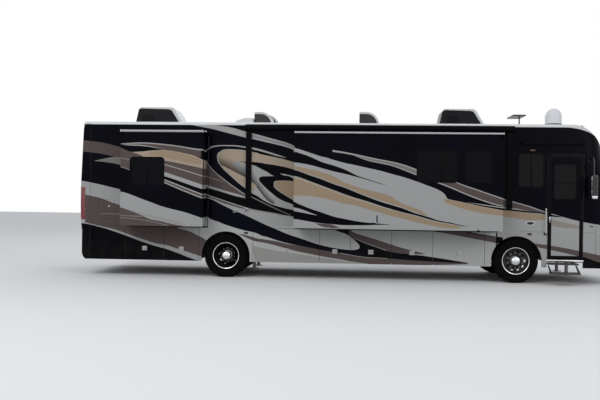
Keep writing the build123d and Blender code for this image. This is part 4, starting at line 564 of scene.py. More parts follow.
black_coat = finish(
    "black_coat", (0.0018, 0.0018, 0.0028), 0.35, spread=0.2, grain=60, bump=0.0002, Specular_IOR_Level=0.05,
)
white_plastic = finish("white_plastic", (0.60, 0.61, 0.62), 0.4, spread=0.05, grain=60, bump=0.0003)
dash_vinyl = finish(
    "dash_vinyl", (0.06, 0.055, 0.05), 0.6, spread=0.15, grain=90, bump=0.0008, bump_scale=500,
)
seat_leather = finish(
    "seat_leather", (0.30, 0.24, 0.185), 0.5, spread=0.12, grain=60, bump=0.0012, bump_scale=320,
)
floor_board = finish("floor_board", (0.17, 0.13, 0.10), 0.5, spread=0.2, grain=30, bump=0.0005, dirt=0.2)

black_trim = finish(
    "black_trim", (0.0025, 0.0025, 0.0035), 0.28, spread=0.15, grain=90, bump=0.0002,
    Specular_IOR_Level=0.07,
)
seam_black = finish("seam_black", (0.012, 0.012, 0.014), 0.75, spread=0.15, grain=90, bump=0.0003)
chrome_dark = finish("satin_chrome", (0.46, 0.46, 0.48), 0.22, 1.0, spread=0.06, grain=120)
latch_metal = finish("latch_metal", (0.40, 0.40, 0.41), 0.3, 0.7, spread=0.08, grain=120, bump=0.0001)
nut_metal = finish("nut_metal", (0.20, 0.20, 0.21), 0.3, 1.0, spread=0.1, grain=150)
mirror_glass = finish("mirror_glass", (0.80, 0.82, 0.84), 0.02, 1.0, spread=0.02, grain=20)
step_rubber = finish(
    "step_rubber", (0.03, 0.03, 0.032), 0.8, spread=0.2, grain=90, bump=0.0009, bump_scale=500, dirt=0.3,
)
topper_cloth = finish(
    "topper_cloth", (0.42, 0.42, 0.43), 0.8, spread=0.08, grain=25, bump=0.0006, bump_scale=900,
    Sheen_Weight=0.1,
)


def wheel_metal(name, axle_x, bright_from, cap):
    """Polished lip and cap, and a dark satin dish between them, painted dark in place of the dark reflection
    in polished metal.
    """
    made = Nodes(name, 0.2, 1.0)
    x, _, z = made.axes()
    across = made.math("SUBTRACT", x, axle_x)
    up = made.math("SUBTRACT", z, axle_z)
    squares = made.math("ADD", made.math("MULTIPLY", across, across), made.math("MULTIPLY", up, up))
    radius = made.math("SQRT", squares)
    lip = made.math("GREATER_THAN", radius, bright_from)
    middle = made.math("LESS_THAN", radius, cap)
    bright = made.math("MAXIMUM", lip, middle)
    cloud = made.cloud(30.0, 4.0)
    # Painted reflection: the dish between lip and cap is dark, standing in for dark surroundings mirrored in
    # polished metal
    dish = made.mix(cloud, (0.012, 0.012, 0.014), (0.024, 0.024, 0.026))
    metal = made.mix(cloud, (0.58, 0.59, 0.61), (0.68, 0.69, 0.71))
    dust = made.cloud(7, 6, 0, 0.3, 0.4, 0.75)
    dust = made.math("MULTIPLY", dust, made.math("SUBTRACT", 1.0, middle))
    made.set(Base_Color=made.mix(dust, made.mix(bright, dish, metal), (0.13, 0.115, 0.10)))
    rough = made.cloud(60.0, 3.0, -0.04, 0.04)
    made.set(Roughness=made.math("ADD", made.math("MULTIPLY_ADD", bright, -0.26, 0.40), rough))
    made.bump(made.noise(140.0, 2.0), 0.3, 0.0002)
    return made.mat


def two_tone(
    name, low, high, edge, rough=0.35, metal_low=0.0, axis=2, output="Object", both=False, low_within=None,
    **sockets
):
    """One finish below a place on an axis and another above it, save where a span has the lower one."""
    made = Nodes(name, rough)
    value = made.axes(output)[axis]
    if both:
        value = made.math("ABSOLUTE", value)
    above = made.math("GREATER_THAN", value, edge)
    if low_within:
        span_axis, start, end = low_within
        within = made.math("COMPARE", made.axes()[span_axis], (start + end) / 2, (end - start) / 2)
        above = made.math("MULTIPLY", above, made.math("SUBTRACT", 1.0, within))
    cloud = made.cloud(20.0, 4.0)
    pair = [made.mix(cloud, shade(tint, 0.97), shade(tint, 1.03)) for tint in (low, high)]
    made.set(Base_Color=made.mix(above, *pair))
    if metal_low:
        made.set(Metallic=made.range(above, 0, 1, metal_low, 0))
    made.set(Roughness=made.cloud(60.0, 3.0, rough * 0.8, rough * 1.2))
    made.bump(made.noise(160.0, 2.0), 0.4, 0.0003)
    made.set(**sockets)
    return made.mat


glass_half_y = 1.105
glass_z = (1.555, 2.695)
glass_joint_half = 0.011


def windshield_glass():
    """Clear glass with a black painted border and a line down the middle."""
    made = Nodes("windshield_glass", 0.02)
    _, y, z = made.axes()
    wide = made.math("ABSOLUTE", y)
    edge = made.math("GREATER_THAN", wide, glass_half_y)
    edge = made.math("MAXIMUM", edge, made.math("LESS_THAN", wide, glass_joint_half))
    edge = made.math("MAXIMUM", edge, made.math("LESS_THAN", z, glass_z[0]))
    edge = made.math("MAXIMUM", edge, made.math("GREATER_THAN", z, glass_z[1]))
    tint = made.mix(made.range(z, 2.3, 2.7, 0, 1), (0.42, 0.47, 0.46), (0.16, 0.20, 0.22))
    made.set(Base_Color=made.mix(edge, tint, (0.008, 0.008, 0.010)), IOR=1.45, Specular_IOR_Level=0.35)
    made.set(Transmission_Weight=made.math("SUBTRACT", 1.0, edge))
    made.set(Roughness=made.cloud(20.0, 2.0, 0.015, 0.03))
    return made.mat


white_lens_top = 1.255
upper_lens_foot = 1.62
ribs_a_metre = 80


def tail_lens():
    """Ribbed lens: white at the foot and red above, in three fields."""
    made = Nodes("tail_lens", 0.12)
    z = made.axes()[2]
    colour = made.mix(made.math("GREATER_THAN", z, white_lens_top), (0.45, 0.45, 0.46), (0.20, 0.004, 0.012))
    # Painted shade in the grooves: each rib darkens over the top quarter of its pitch
    rib = made.math("FRACT", made.math("MULTIPLY", z, ribs_a_metre))
    colour = made.mix(made.range(rib, 0.75, 1.0, 0, 0.35), colour, (0.02, 0.004, 0.006))
    joint = made.math("COMPARE", z, white_lens_top, 0.004)
    joint = made.math("MAXIMUM", joint, made.math("COMPARE", z, upper_lens_foot, 0.003))
    made.set(Base_Color=made.mix(joint, colour, (0.01, 0.01, 0.012)), Coat_Weight=0.5, Coat_Roughness=0.04)
    made.set(Roughness=made.cloud(60.0, 2.0, 0.09, 0.16))
    made.bump(made.math("SINE", made.math("MULTIPLY", z, 502.0)), 0.5, 0.0012)
    return made.mat


# Places that the added pieces take from the frame
def parts_of(name):
    """The boxes of a node's separate bodies, from the rear forwards."""
    bm = bmesh.new()
    bm.from_mesh(nodes[name].data)
    bmesh.ops.remove_doubles(bm, verts=bm.verts, dist=1e-5)
    left = set(bm.verts)
    found = []
    while left:
        group, queue = set(), [left.pop()]
        while queue:
            vert = queue.pop()
            group.add(vert)
            for edge in vert.link_edges:
                other = edge.other_vert(vert)
                if other in left:
                    left.discard(other)
                    queue.append(other)
        low = [min(vert.co[k] for vert in group) for k in range(3)]
        high = [max(vert.co[k] for vert in group) for k in range(3)]
        found.append((low, high))
    bm.free()
    return sorted(found)


def cast(name, start, way):
    """Where a line from a point meets a node, and the way the surface faces there."""
    hit, place, normal, _ = nodes[name].ray_cast(Vector(start), Vector(way))
    return (place, normal) if hit else (None, None)


wall_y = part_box("left_side_wall")[1][1]
slide_y = 1.8125
door_face = -wall_y
window_radius = 0.06
window_trim = 0.024
tyre_low, tyre_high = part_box("front_left_tyre")
front_axle_x = (tyre_low[0] + tyre_high[0]) / 2
axle_z = (tyre_low[2] + tyre_high[2]) / 2
tyre_radius = (tyre_high[0] - tyre_low[0]) / 2
tyre_half = (tyre_high[1] - tyre_low[1]) / 2
front_track_y = (tyre_low[1] + tyre_high[1]) / 2
dual_low, dual_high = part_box("rear_left_tyres")
rear_axle_x = (dual_low[0] + dual_high[0]) / 2
dual_y = (dual_low[1] + tyre_half, dual_high[1] - tyre_half)
sides = (("right", -1), ("left", 1))

front_wheel_metal = wheel_metal("front_wheel_metal", front_axle_x, 0.281, 0.099)
rear_wheel_metal = wheel_metal("rear_wheel_metal", rear_axle_x, 0.281, 0.099)
mirror_shell = two_tone("mirror_shell", (0.75, 0.76, 0.78), (0.008, 0.008, 0.011), 1.925, 0.2, metal_low=1.0)
# Painted highlight: the dark vent hoods are pale on all faces except those that look across the coach; the
# low lid at the rear of the span is white all over
vent_shell_painted_tops = two_tone(
    "vent_shell_painted_tops", (0.68, 0.69, 0.70), (0.006, 0.006, 0.007), 0.8, 0.4, axis=1, output="Normal", both=True,
    low_within=(0, -9, -2.152),
)
antenna_shell = two_tone(
    "antenna_shell", (0.012, 0.012, 0.014), (0.72, 0.73, 0.75), 3.562, 0.3, low_within=(0, 3.5, 4.45),
)
# Painted highlight: faces of the black cooling-unit covers that point upwards are pale grey, standing in for
# the sky's highlight on glossy black
shroud_painted_top = two_tone(
    "shroud_painted_top", (0.005, 0.005, 0.007), (0.50, 0.51, 0.52), 0.30, 0.3, axis=2, output="Normal",
    Specular_IOR_Level=0.15,
)

# Which nodes have each material. Coach paint goes on the rest.
node_material = {}
for material, names in (
    (cab_glass, "side_windows entry_door_window"),
    (dark_glass, "rear_slide_window front_slide_windows left_slide_windows"),
    (white_roof, "roof"),
    (windshield_glass(), "windshield"),
    (lamp_glass, "headlamps"),
    (tail_lens(), "tail_lamps"),
    (floor_board, "house_floor"),
    (grey_sheet, "wheel_wells luggage_bays"),
    (frame_steel, "chassis_frame front_axle rear_axle hitch_receiver entry_step knuckle_right knuckle_left"),
    (cast_iron, "power_train"),
    (tank_plastic, "tanks"),
    (plain_steel, "leveling_jacks tie_rod"),
    (black_coat, "awnings"),
    (shroud_painted_top, "air_conditioners"),
    (vent_shell_painted_tops, "roof_vents"),
    (antenna_shell, "roof_antennas"),
    (mirror_shell, "mirrors"),
    (rubber, "wipers"),
    (dash_vinyl, "dashboard"),
    (seat_leather, "front_seats"),
    (slide_paint, "rear_slide front_slide left_slide"),
    (tyre_rubber, "front_right_tyre front_left_tyre rear_right_tyres rear_left_tyres"),
    (front_wheel_metal, "front_right_wheel front_left_wheel"),
    (rear_wheel_metal, "rear_right_wheels rear_left_wheels"),
):
    node_material.update(dict.fromkeys(names.split(), material))
for name, obj in nodes.items():
    obj.data.materials.clear()
    obj.data.materials.append(node_material.get(name, body_paint))


# Pieces that the solids leave to the scene: meshes in metres, placed from the frame
class Piece:
    """A mesh built up from simple forms."""

    def __init__(self):
        self.bm = bmesh.new()

    def block(self, low, high, bevel=0.0, steps=2):
        made = bmesh.ops.create_cube(self.bm, size=1)["verts"]
        middle = (Vector(low) + Vector(high)) / 2
        bmesh.ops.scale(self.bm, vec=[abs(b - a) for a, b in zip(low, high)], verts=made)
        bmesh.ops.translate(self.bm, vec=middle, verts=made)
        if bevel:
            edges = list(dict.fromkeys(edge for vert in made for edge in vert.link_edges))
            bmesh.ops.bevel(self.bm, geom=edges, offset=bevel, segments=steps, affect="EDGES", profile=0.5)

    def loops(self, rings, round_trip=False):
        """Faces between closed rings of points, the last joined to the first or both capped."""
        rows = [[self.bm.verts.new(point) for point in ring] for ring in rings]
        pairs = list(zip(rows, rows[1:])) + ([(rows[-1], rows[0])] if round_trip else [])
        for first, second in pairs:
            for k in range(len(first)):
                j = (k + 1) % len(first)
                self.bm.faces.new((first[k], first[j], second[j], second[k]))
        if not round_trip:
            self.bm.faces.new(rows[0])
            self.bm.faces.new(rows[-1])

    def lathe(self, centre, profile, sides=48, way=(0, 1, 0), hollow=False):
        """A turned form about a line through its centre: rows of distance along it and radius."""
        way = Vector(way).normalized()
        across = way.orthogonal().normalized()
        up = way.cross(across)
        rings = []
        for out, radius in profile:
            middle = Vector(centre) + way * out
            rings.append([middle + radius * (cos(t) * across + sin(t) * up) for t in turns(sides)])
        self.loops(rings, round_trip=hollow)

    def tube(self, points, radius, sides=12):
        """A round bar through points, each on the middle of the bar."""
        path = [Vector(point) for point in points]
        rings = []
        for k, point in enumerate(path):
            ahead = (path[min(k + 1, len(path) - 1)] - path[max(k - 1, 0)]).normalized()
            across = ahead.orthogonal() if k == 0 else across - ahead * across.dot(ahead)
            across.normalize()
            up = ahead.cross(across)
            rings.append([point + radius * (cos(t) * across + sin(t) * up) for t in turns(sides)])
        self.loops(rings)

    def frame(self, span_x, span_z, radius, width, face, proud, deep, corner=None):
        """A frame round an opening in a side wall whose face lies at Y = face."""
        side = 1 if face > 0 else -1
        corner = radius + width if corner is None else corner
        rings = []
        for share, out in ((1.0, -0.001), (0.85, proud), (0.0, proud), (0.0, -deep)):
            y = face + side * out
            grow = share * width
            spans = (span_x[0] - grow, span_x[1] + grow), (span_z[0] - grow, span_z[1] + grow)
            rings.append([(x, y, z) for x, z in outline(*spans, radius if share == 0.0 else corner)])
        self.loops(rings, round_trip=True)

    def strip(self, outer, inner, near, far):
        """A flat band between two lines of places along x and z."""
        rings = []
        for (x1, z1), (x2, z2) in zip(outer, inner):
            rings.append([(x1, near, z1), (x1, far, z1), (x2, far, z2), (x2, near, z2)])
        self.loops(rings)

    def plate(self, x, z, half_x, half_z, face, height, edge=0.8, sides=32):
        """A low domed oval plate on a side wall."""
        side = 1 if face > 0 else -1
        rings = []
        for out, share in ((-0.001, 1.0), (0.5 * height, 0.98), (0.9 * height, edge), (height, 0.6 * edge)):
            wide, high = share * half_x, share * half_z
            y = face + side * out
            rings.append([(x + wide * cos(t), y, z + high * sin(t)) for t in turns(sides)])
        self.loops(rings)

    def done(self, name, material, body="coach", angle=35):
        """The finished object, riding on a body."""
        bmesh.ops.recalc_face_normals(self.bm, faces=self.bm.faces)
        mesh = bpy.data.meshes.new(name)
        self.bm.to_mesh(mesh)
        self.bm.free()
        mesh.materials.append(material)
        mesh.shade_smooth()
        mesh.set_sharp_from_angle(angle=radians(angle))
        obj = bpy.data.objects.new(name, mesh)
        bpy.context.scene.collection.objects.link(obj)
        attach(obj, body)
        return obj


def outline(span_x, span_z, radius, steps=5):
    """Points round a rectangle with round corners."""
    points = []
    for right, top, start in ((1, 1, 0), (0, 1, 90), (0, 0, 180), (1, 0, 270)):
        centre_x = span_x[right] + (-radius if right else radius)
        centre_z = span_z[top] + (-radius if top else radius)
        for k in range(steps + 1):
            angle = radians(start + 90 * k / steps)
            points.append((centre_x + radius * cos(angle), centre_z + radius * sin(angle)))
    return points


# Tyres: the solids' form with grooves, shoulder blocks, cuts and ridges on the walls
tyre_pitches = 60
groove_deep = 0.0125
cut_deep = (0, 0.009, 0.002)


def tyre_profile():
    """Rows of place across the tyre, radius, and which cuts reach it: 1 shoulder, 2 rib."""
    wall = [
        (-0.0965, 0.2865, 0), (-0.0965, 0.2985, 0), (-0.1025, 0.309, 0), (-0.1085, 0.3215, 0),
        (-0.1145, 0.336, 0), (-0.1190, 0.349, 0), (-0.1182, 0.352, 0), (-0.1235, 0.366, 0),
        (-tyre_half, 0.384, 0), (-0.1270, 0.402, 0), (-0.1254, 0.405, 0), (-0.1250, 0.418, 0),
        (-0.1262, 0.421, 0), (-0.1215, 0.449, 0), (-0.1195, 0.4560, 1), (-0.1080, 0.4740, 1),
        (-0.0955, tyre_radius - 0.001, 1), (-0.0640, tyre_radius, 1),
    ]
    groove = tyre_radius - groove_deep
    tread = []
    for low, high in ((-0.0640, -0.0540), (-0.0230, -0.0130)):
        tread += [(low + 0.001, groove, 0), (high - 0.001, groove, 0), (high, tyre_radius, 2)]
        if high < -0.05:
            tread.append((-0.0230, tyre_radius, 2))
    rows = wall + tread
    return rows + [(-out, radius, kind) for out, radius, kind in reversed(rows)]


def tyre(piece, x, y):
    """One tyre: every pitch has a block on each shoulder and a fine cut across the ribs."""
    rings = []
    for k, angle in enumerate(turns(tyre_pitches * 4)):
        ring = []
        for out, radius, kind in tyre_profile():
            if k % 4 == 3:
                radius -= cut_deep[kind]
            ring.append((x + radius * cos(angle), y + out, axle_z + radius * sin(angle)))
        rings.append(ring)
    piece.loops(rings, round_trip=True)


def tyres():
    for name, side in sides:
        for end, x, places in (("front", front_axle_x, [front_track_y]), ("rear", rear_axle_x, dual_y)):
            piece = Piece()
            for y in places:
                tyre(piece, x, side * y)
            plural = "s" if end == "rear" else ""
            made = piece.done(f"{end}_{name}_tread{plural}", tyre_rubber, f"{end}_{name}_wheel{plural}", 40)
            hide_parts(f"{end}_{name}_tyre{plural}")


# Wheel fittings: the rolled lip, nuts with covers, a domed hub cap and a valve stem.
# Each profile: distance out along the axle, radius.
nut_count = 10
nut_ring = 0.1675
lip_profile = [
    (-0.005, 0.2987), (0.002, 0.2990), (0.006, 0.2950), (0.006, 0.2880), (0.002, 0.2820), (-0.006, 0.2790),
    (-0.010, 0.2840),
]
nut_profile = [
    (-0.002, 0.021), (0.005, 0.021), (0.006, 0.0165), (0.034, 0.0155), (0.042, 0.011), (0.044, 0.004),
]
cap_profile = [
    (-0.003, 0.097), (0.008, 0.096), (0.020, 0.088), (0.030, 0.070), (0.037, 0.045), (0.040, 0.020),
    (0.0405, 0.003),
]


def wheel_fittings():
    # End, axle's place, face that the nuts stand on, middle of the outer rim
    ends = (("front", front_axle_x, 1.160, front_track_y), ("rear", rear_axle_x, 0.966, dual_y[1]))
    for name, side in sides:
        way = (0, side, 0)
        for end, axle_x, face, rim_y in ends:
            stem_name = f"{end}_{name}"
            body = f"{stem_name}_wheel" + ("s" if end == "rear" else "")
            lip = Piece()
            lip.lathe((axle_x, side * (rim_y + 0.105), axle_z), lip_profile, 96, way, hollow=True)
            lip.done(f"{stem_name}_rim_lip", chrome, body)
            nuts = Piece()
            for k in range(nut_count):
                angle = 2 * pi * (k + 0.5) / nut_count
                at = (axle_x + nut_ring * cos(angle), side * face, axle_z + nut_ring * sin(angle))
                nuts.lathe(at, nut_profile, 6, way)
            nuts.done(f"{stem_name}_wheel_nuts", nut_metal, body, 50)
            place, _ = cast(body, (axle_x, side * 3.0, axle_z), (0, -side, 0))
            dome = Piece()
            dome.lathe(place, cap_profile, 48, way)
            dome.done(f"{stem_name}_hub_cap", chrome, body, 50)
            stem = Piece()
            bends = ((0.215, -0.02, 0.030), (0.222, 0.01, 0.032), (0.235, 0.04, 0.034))
            stem.tube([(axle_x + x, side * (face + out), axle_z + z) for x, out, z in bends], 0.004, 8)
            stem.done(f"{stem_name}_valve_stem", plain_steel, body)


# Windows: black frames, a bar where a pane slides, and the door's wide frame
def windows():
    # Node, side, face of its wall, body, share of the width where a sliding pane's bar stands
    table = (
        ("side_windows", None, wall_y, "coach", (0.5, 0.5, 0.5)),
        ("rear_slide_window", -1, slide_y, "rear_slide", (0.5,)),
        ("front_slide_windows", -1, slide_y, "front_slide", (0.62, None)),
        ("left_slide_windows", 1, slide_y, "left_slide", (0.62, None)),
    )
    for node, side, face, body, bars in table:
        for k, (low, high) in enumerate(parts_of(node)):
            way = side or (1 if low[1] > 0 else -1)
            trim = Piece()
            spans = (low[0], high[0]), (low[2], high[2])
            trim.frame(*spans, window_radius, window_trim, way * face, 0.006, 0.017)
            if bars[k] is not None:
                x = low[0] + bars[k] * (high[0] - low[0])
                back = way * (face - 0.018)
                trim.block((x - 0.015, back, low[2]), (x + 0.015, way * (face - 0.004), high[2]), 0.003)
                trim.block((low[0], back, low[2]), (high[0], way * (face - 0.008), low[2] + 0.016), 0.003)
            trim.done(f"{node}_frame_{k + 1}", black_trim, body)


def entry_door():
    low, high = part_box("entry_door")
    pane_low, pane_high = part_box("entry_door_window")
    face = door_face
    width = 0.083
    trim = Piece()
    spans = [(low[k] + width + 0.001, high[k] - width - 0.001) for k in (0, 2)]
    trim.frame(*spans, 0.012, width, face, 0.003, 0.001, 0.006)
    spans = (pane_low[0], pane_high[0]), (pane_low[2], pane_high[2])
    trim.frame(*spans, window_radius, window_trim, face, 0.006, 0.018)
    bar_z = pane_low[2] + 0.47 * (pane_high[2] - pane_low[2])
    trim.block((pane_low[0], face + 0.004, bar_z - 0.009), (pane_high[0], face + 0.018, bar_z + 0.009), 0.003)
    trim.done("entry_door_frame", black_trim, "entry_door")
    lock = Piece()
    x = low[0]
    lock.block((x + 0.024, face + 0.001, 1.335), (x + 0.076, face + 0.012, 1.485), 0.004)
    lock.block((x + 0.032, face - 0.010, 1.37), (x + 0.068, face + 0.004, 1.465), 0.006)
    lock.lathe((x + 0.05, face - 0.0085, 1.352), [(0, 0.010), (0.010, 0.010), (0.011, 0.004)], 20, (0, -1, 0))
    lock.done("entry_door_handle", chrome_dark, "entry_door")
    sill = Piece()
    foot_z = low[2] - 0.046
    sill.block((low[0] - 0.01, face - 0.008, foot_z), (high[0] + 0.01, face + 0.002, low[2] - 0.006), 0.003)
    sill.done("entry_door_sill", aluminium)


# Luggage doors: a paddle latch in each recess
def latches():
    for name in nodes:
        if "_bay_door_" not in name:
            continue
        low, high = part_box(name)
        side = 1 if high[1] > 0 else -1
        x, face = (low[0] + high[0]) / 2, side * wall_y
        cup = Piece()
        cup.frame((x - 0.051, x + 0.051), (0.605, 0.645), 0.006, 0.007, face, 0.003, 0.010, 0.010)
        back, front = face - side * 0.001, face + side * 0.003
        for low_z, high_z in ((0.577, 0.6), (0.65, 0.673)):
            cup.block((x - 0.057, back, low_z), (x + 0.057, front, high_z), 0.0015)
        cup.done(f"{name}_latch_plate", latch_metal, name)
        paddle = Piece()
        paddle.block((x - 0.047, face - side * 0.011, 0.609), (x + 0.047, face + side * 0.001, 0.641), 0.004)
        paddle.block((x - 0.020, face - side * 0.001, 0.616), (x + 0.020, face + side * 0.004, 0.634), 0.003)
        paddle.done(f"{name}_latch", latch_metal, name)


# Joints between panels: thin dark strips on the walls
def seams():
    half = 0.0022
    # Level joints: start and end along the length, height. Upright ones: place, foot, top.
    hatch_x, hatch_z = (-5.57, -5.198), (1.27, 1.70)
    level = [(-5.763, -4.963, 1.1225), (3.80, 4.39, 1.132), (5.17, 5.42, 1.132)]
    level += [(*hatch_x, z) for z in hatch_z]
    upright = [(-5.763, 0.42, 3.41), (5.424, 0.60, 1.28)] + [(x, *hatch_z) for x in hatch_x]
    lock_profile = [(-0.001, 0.019), (0.003, 0.019), (0.004, 0.012), (0.0045, 0.005)]
    for name, side in sides:
        back, front = side * (wall_y - 0.002), side * (wall_y + 0.0009)
        lines = Piece()
        for start, end, z in level:
            lines.block((start, back, z - half), (end, front, z + half))
        for x, start, end in upright:
            lines.block((x - half, back, start), (x + half, front, end))
        lines.done(f"{name}_panel_joints", seam_black)
        lock = Piece()
        lock.lathe((-5.33, side * wall_y, 1.56), lock_profile, 20, (0, side, 0))
        lock.done(f"{name}_hatch_lock", chrome_dark)


def slide_seals():
    """Black rubber seals on the walls round the slide-out rooms' openings; the strip under each room's sill
    is partly a painted shadow, darkening the wall where the room's shadow falls.
    """
    for body, side in (("rear_slide", -1), ("front_slide", -1), ("left_slide", 1)):
        low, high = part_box(body)
        seal = Piece()
        wide, clear, sill_z = 0.020, 0.006, 1.150
        upright = (1.124, high[2] - 0.08)
        for span_x, span_z in (
            ((low[0], high[0]), (sill_z - wide - clear, sill_z - clear)),
            ((low[0] - wide, low[0] - clear), upright),
            ((high[0] + clear, high[0] + wide), upright),
        ):
            corner = (span_x[1], side * (wall_y + 0.010), span_z[1])
            seal.block((span_x[0], side * (wall_y - 0.001), span_z[0]), corner, 0.002)
        seal.done(f"{body}_seal", rubber)


def side_lamps():
    for name, side in sides:
        lenses, bases = Piece(), Piece()
        for x, z in ((-2.198, 1.003), (4.022, 1.078)):
            lenses.plate(x, z, 0.042, 0.017, side * wall_y, 0.013)
            bases.plate(x, z, 0.052, 0.025, side * wall_y, 0.004, 0.95)
        lenses.done(f"{name}_side_markers", amber_dim)
        bases.done(f"{name}_marker_bases", black_trim)


# Vent in the front room's side
louvre_count = 8
louvre_pitch = 0.0207


def door_side_fittings():
    face = door_face
    boxes, lids = Piece(), Piece()
    for x, z in ((-2.46, 1.49), (-2.20, 1.52)):
        boxes.block((x - 0.035, face - 0.020, z - 0.035), (x + 0.035, face + 0.002, z + 0.035), 0.006)
        lids.block((x - 0.026, face - 0.024, z - 0.028), (x + 0.026, face - 0.016, z + 0.022), 0.003)
    boxes.done("outlet_boxes", white_plastic)
    lids.done("outlet_lids", grey_sheet)
    vent, louvres = Piece(), Piece()
    vent.frame((0.664, 0.716), (1.290, 1.457), 0.006, 0.012, -slide_y, 0.006, 0.001)
    vent.done("slide_vent_frame", white_plastic, "front_slide")
    for k in range(louvre_count):
        z = 1.292 + louvre_pitch * k
        louvres.block((0.665, -slide_y - 0.004, z), (0.715, -slide_y + 0.001, z + 0.017), 0.001)
    louvres.done("slide_vent_louvres", grey_sheet, "front_slide")
    # Domed ovals: name, material, place along and up, half width, half height, rise, share of the rim
    port, porch = (4.034, 1.317), (4.057, 2.903)
    for name, material, at, half_x, half_z, rise, rim in (
        ("oval_port_rim", white_plastic, port, 0.104, 0.048, 0.006, 0.95),
        ("oval_port", seam_black, port, 0.082, 0.032, 0.010, 0.8),
        ("porch_lamp_base", black_trim, porch, 0.085, 0.034, 0.010, 0.95),
        ("porch_lamp", amber_dim, porch, 0.072, 0.025, 0.034, 0.75),
    ):
        oval = Piece()
        oval.plate(*at, half_x, half_z, face, rise, rim)
        oval.done(name, material)
    grab, feet = Piece(), Piece()
    x, y = 4.355, face - 0.055
    low, high = 1.095, 1.637
    bends = [(face - 0.004, 0), (y + 0.020, 0), (y + 0.006, 0.005), (y, 0.020), (y, 0.06)]
    foot = [(x, out, low + up) for out, up in bends]
    grab.tube(foot + [(x, out, high - up) for out, up in reversed(bends)], 0.0135, 14)
    grab.done("grab_handle", white_plastic, angle=60)
    foot_profile = [(-0.001, 0.034), (0.006, 0.033), (0.010, 0.022), (0.030, 0.020), (0.031, 0.0165)]
    for z in (low, high):
        feet.lathe((x, face, z), foot_profile, 24, (0, -1, 0))
    feet.done("grab_handle_feet", black_trim)
    slot = Piece()
    slot.block((5.300, face - 0.002, 1.252), (5.370, face + 0.002, 1.276), 0.0015)
    slot.done("cap_slot", seam_black)


# Clearance lamps along the front brow and the rear edge, seated on the moulded ends
base_profile = [(-0.004, 0.054), (0.005, 0.052), (0.008, 0.044)]
lens_profile = [(0.0, 0.044), (0.016, 0.042), (0.030, 0.033), (0.038, 0.016), (0.040, 0.003)]
clearance_y = (-1.14, -0.17, 0.0, 0.17, 1.14)


def clearance_lamps():
    for end, node, lens in (("front", "front_cap", amber_lens), ("rear", "rear_cap", red_lens)):
        lamps, bases = Piece(), Piece()
        for y in clearance_y:
            if end == "front":
                hits = [cast(over, (5.14, y, 5.0), (0, 0, -1)) for over in (node, "roof")]
                hits = [hit for hit in hits if hit[0]]
                place, normal = max(hits, key=lambda hit: hit[0].z)
            else:
                place, normal = cast(node, (-8.0, y, 3.27), (1, 0, 0))
            if place is None:
                continue
            bases.lathe(place, base_profile, 24, normal)
            lamps.lathe(place, lens_profile, 24, normal)
        lamps.done(f"{end}_clearance_lamps", lens)
        bases.done(f"{end}_clearance_bases", black_trim)


# Front: lamp rings and bulbs on the lenses. Each profile: distance out, share of the lamp's radius.
ring_profile = [(-0.004, 1), (0.003, 1), (0.004, 0.94), (0.003, 0.86), (-0.004, 0.84)]
bulb_profile = [(-0.002, 0.60), (0.002, 0.58), (0.006, 0.42), (0.009, 0.18), (0.0095, 0.05)]


def front_details():
    rings, bulbs = Piece(), Piece()
    # Place across, height, radius
    rows = [(0.96, 1.03, 0.072), (1.13, 1.03, 0.072), (0.88, 0.66, 0.040)]
    for side in (-1, 1):
        for y, z, radius in rows:
            place, normal = cast("headlamps", (8.0, side * y, z), (-1, 0, 0))
            if place is None:
                continue
            ring = [(out, share * radius) for out, share in ring_profile]
            rings.lathe(place, ring, 40, normal, hollow=True)
            bulbs.lathe(place, [(out, share * radius) for out, share in bulb_profile], 32, normal)
    rings.done("lamp_rings", chrome)
    bulbs.done("lamp_bulbs", bulb_glass)


# Mirrors: glass on the rear faces, a flat one over a wide-angle one
def mirror_plates():
    low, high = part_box("mirrors")
    inset = 0.014
    y_low, y_high = high[1] - 0.200 + inset, high[1] - inset
    for name, side in sides:
        glass = Piece()
        for z_low, z_high in ((low[2] + 0.075, low[2] + 0.190), (low[2] + 0.205, low[2] + 0.490)):
            rings = []
            for out, grow in ((-0.002, 0.0), (0.001, 0.0), (0.002, 0.003)):
                loop = outline((y_low + grow, y_high - grow), (z_low + grow, z_high - grow), 0.02)
                rings.append([(low[0] - out, side * y, z) for y, z in loop])
            glass.loops(rings)
        glass.done(f"{name}_mirror_glass", mirror_glass)


# Roof: slats in the sides of the cooling units, and pale strips on them and on the vent hoods, which are
# painted highlights along their curved edges.
# Edges of the painted highlight on a cooling unit's nose: place from the nose's flat, place below its top.
nose_outer = [(0.052, 0.088), (0.020, 0.045), (-0.03, 0.020), (-0.10, 0.016)]
nose_inner = [(-0.010, 0.105), (-0.035, 0.075), (-0.065, 0.058), (-0.11, 0.048)]
slat_count = 7
slat_pitch = 0.024


def tall_parts(name, least):
    return [part for part in parts_of(name) if part[1][2] - part[0][2] > least]


def highlight_strips(name, low, high, outer, inner):
    """Pale strips on both sides of a roof piece: painted highlights along its curved edge."""
    edges = Piece()
    for face, side in ((low[1], -1), (high[1], 1)):
        edges.strip(outer, inner, face - side * 0.001, face + side * 0.003)
    edges.done(name, white_plastic)


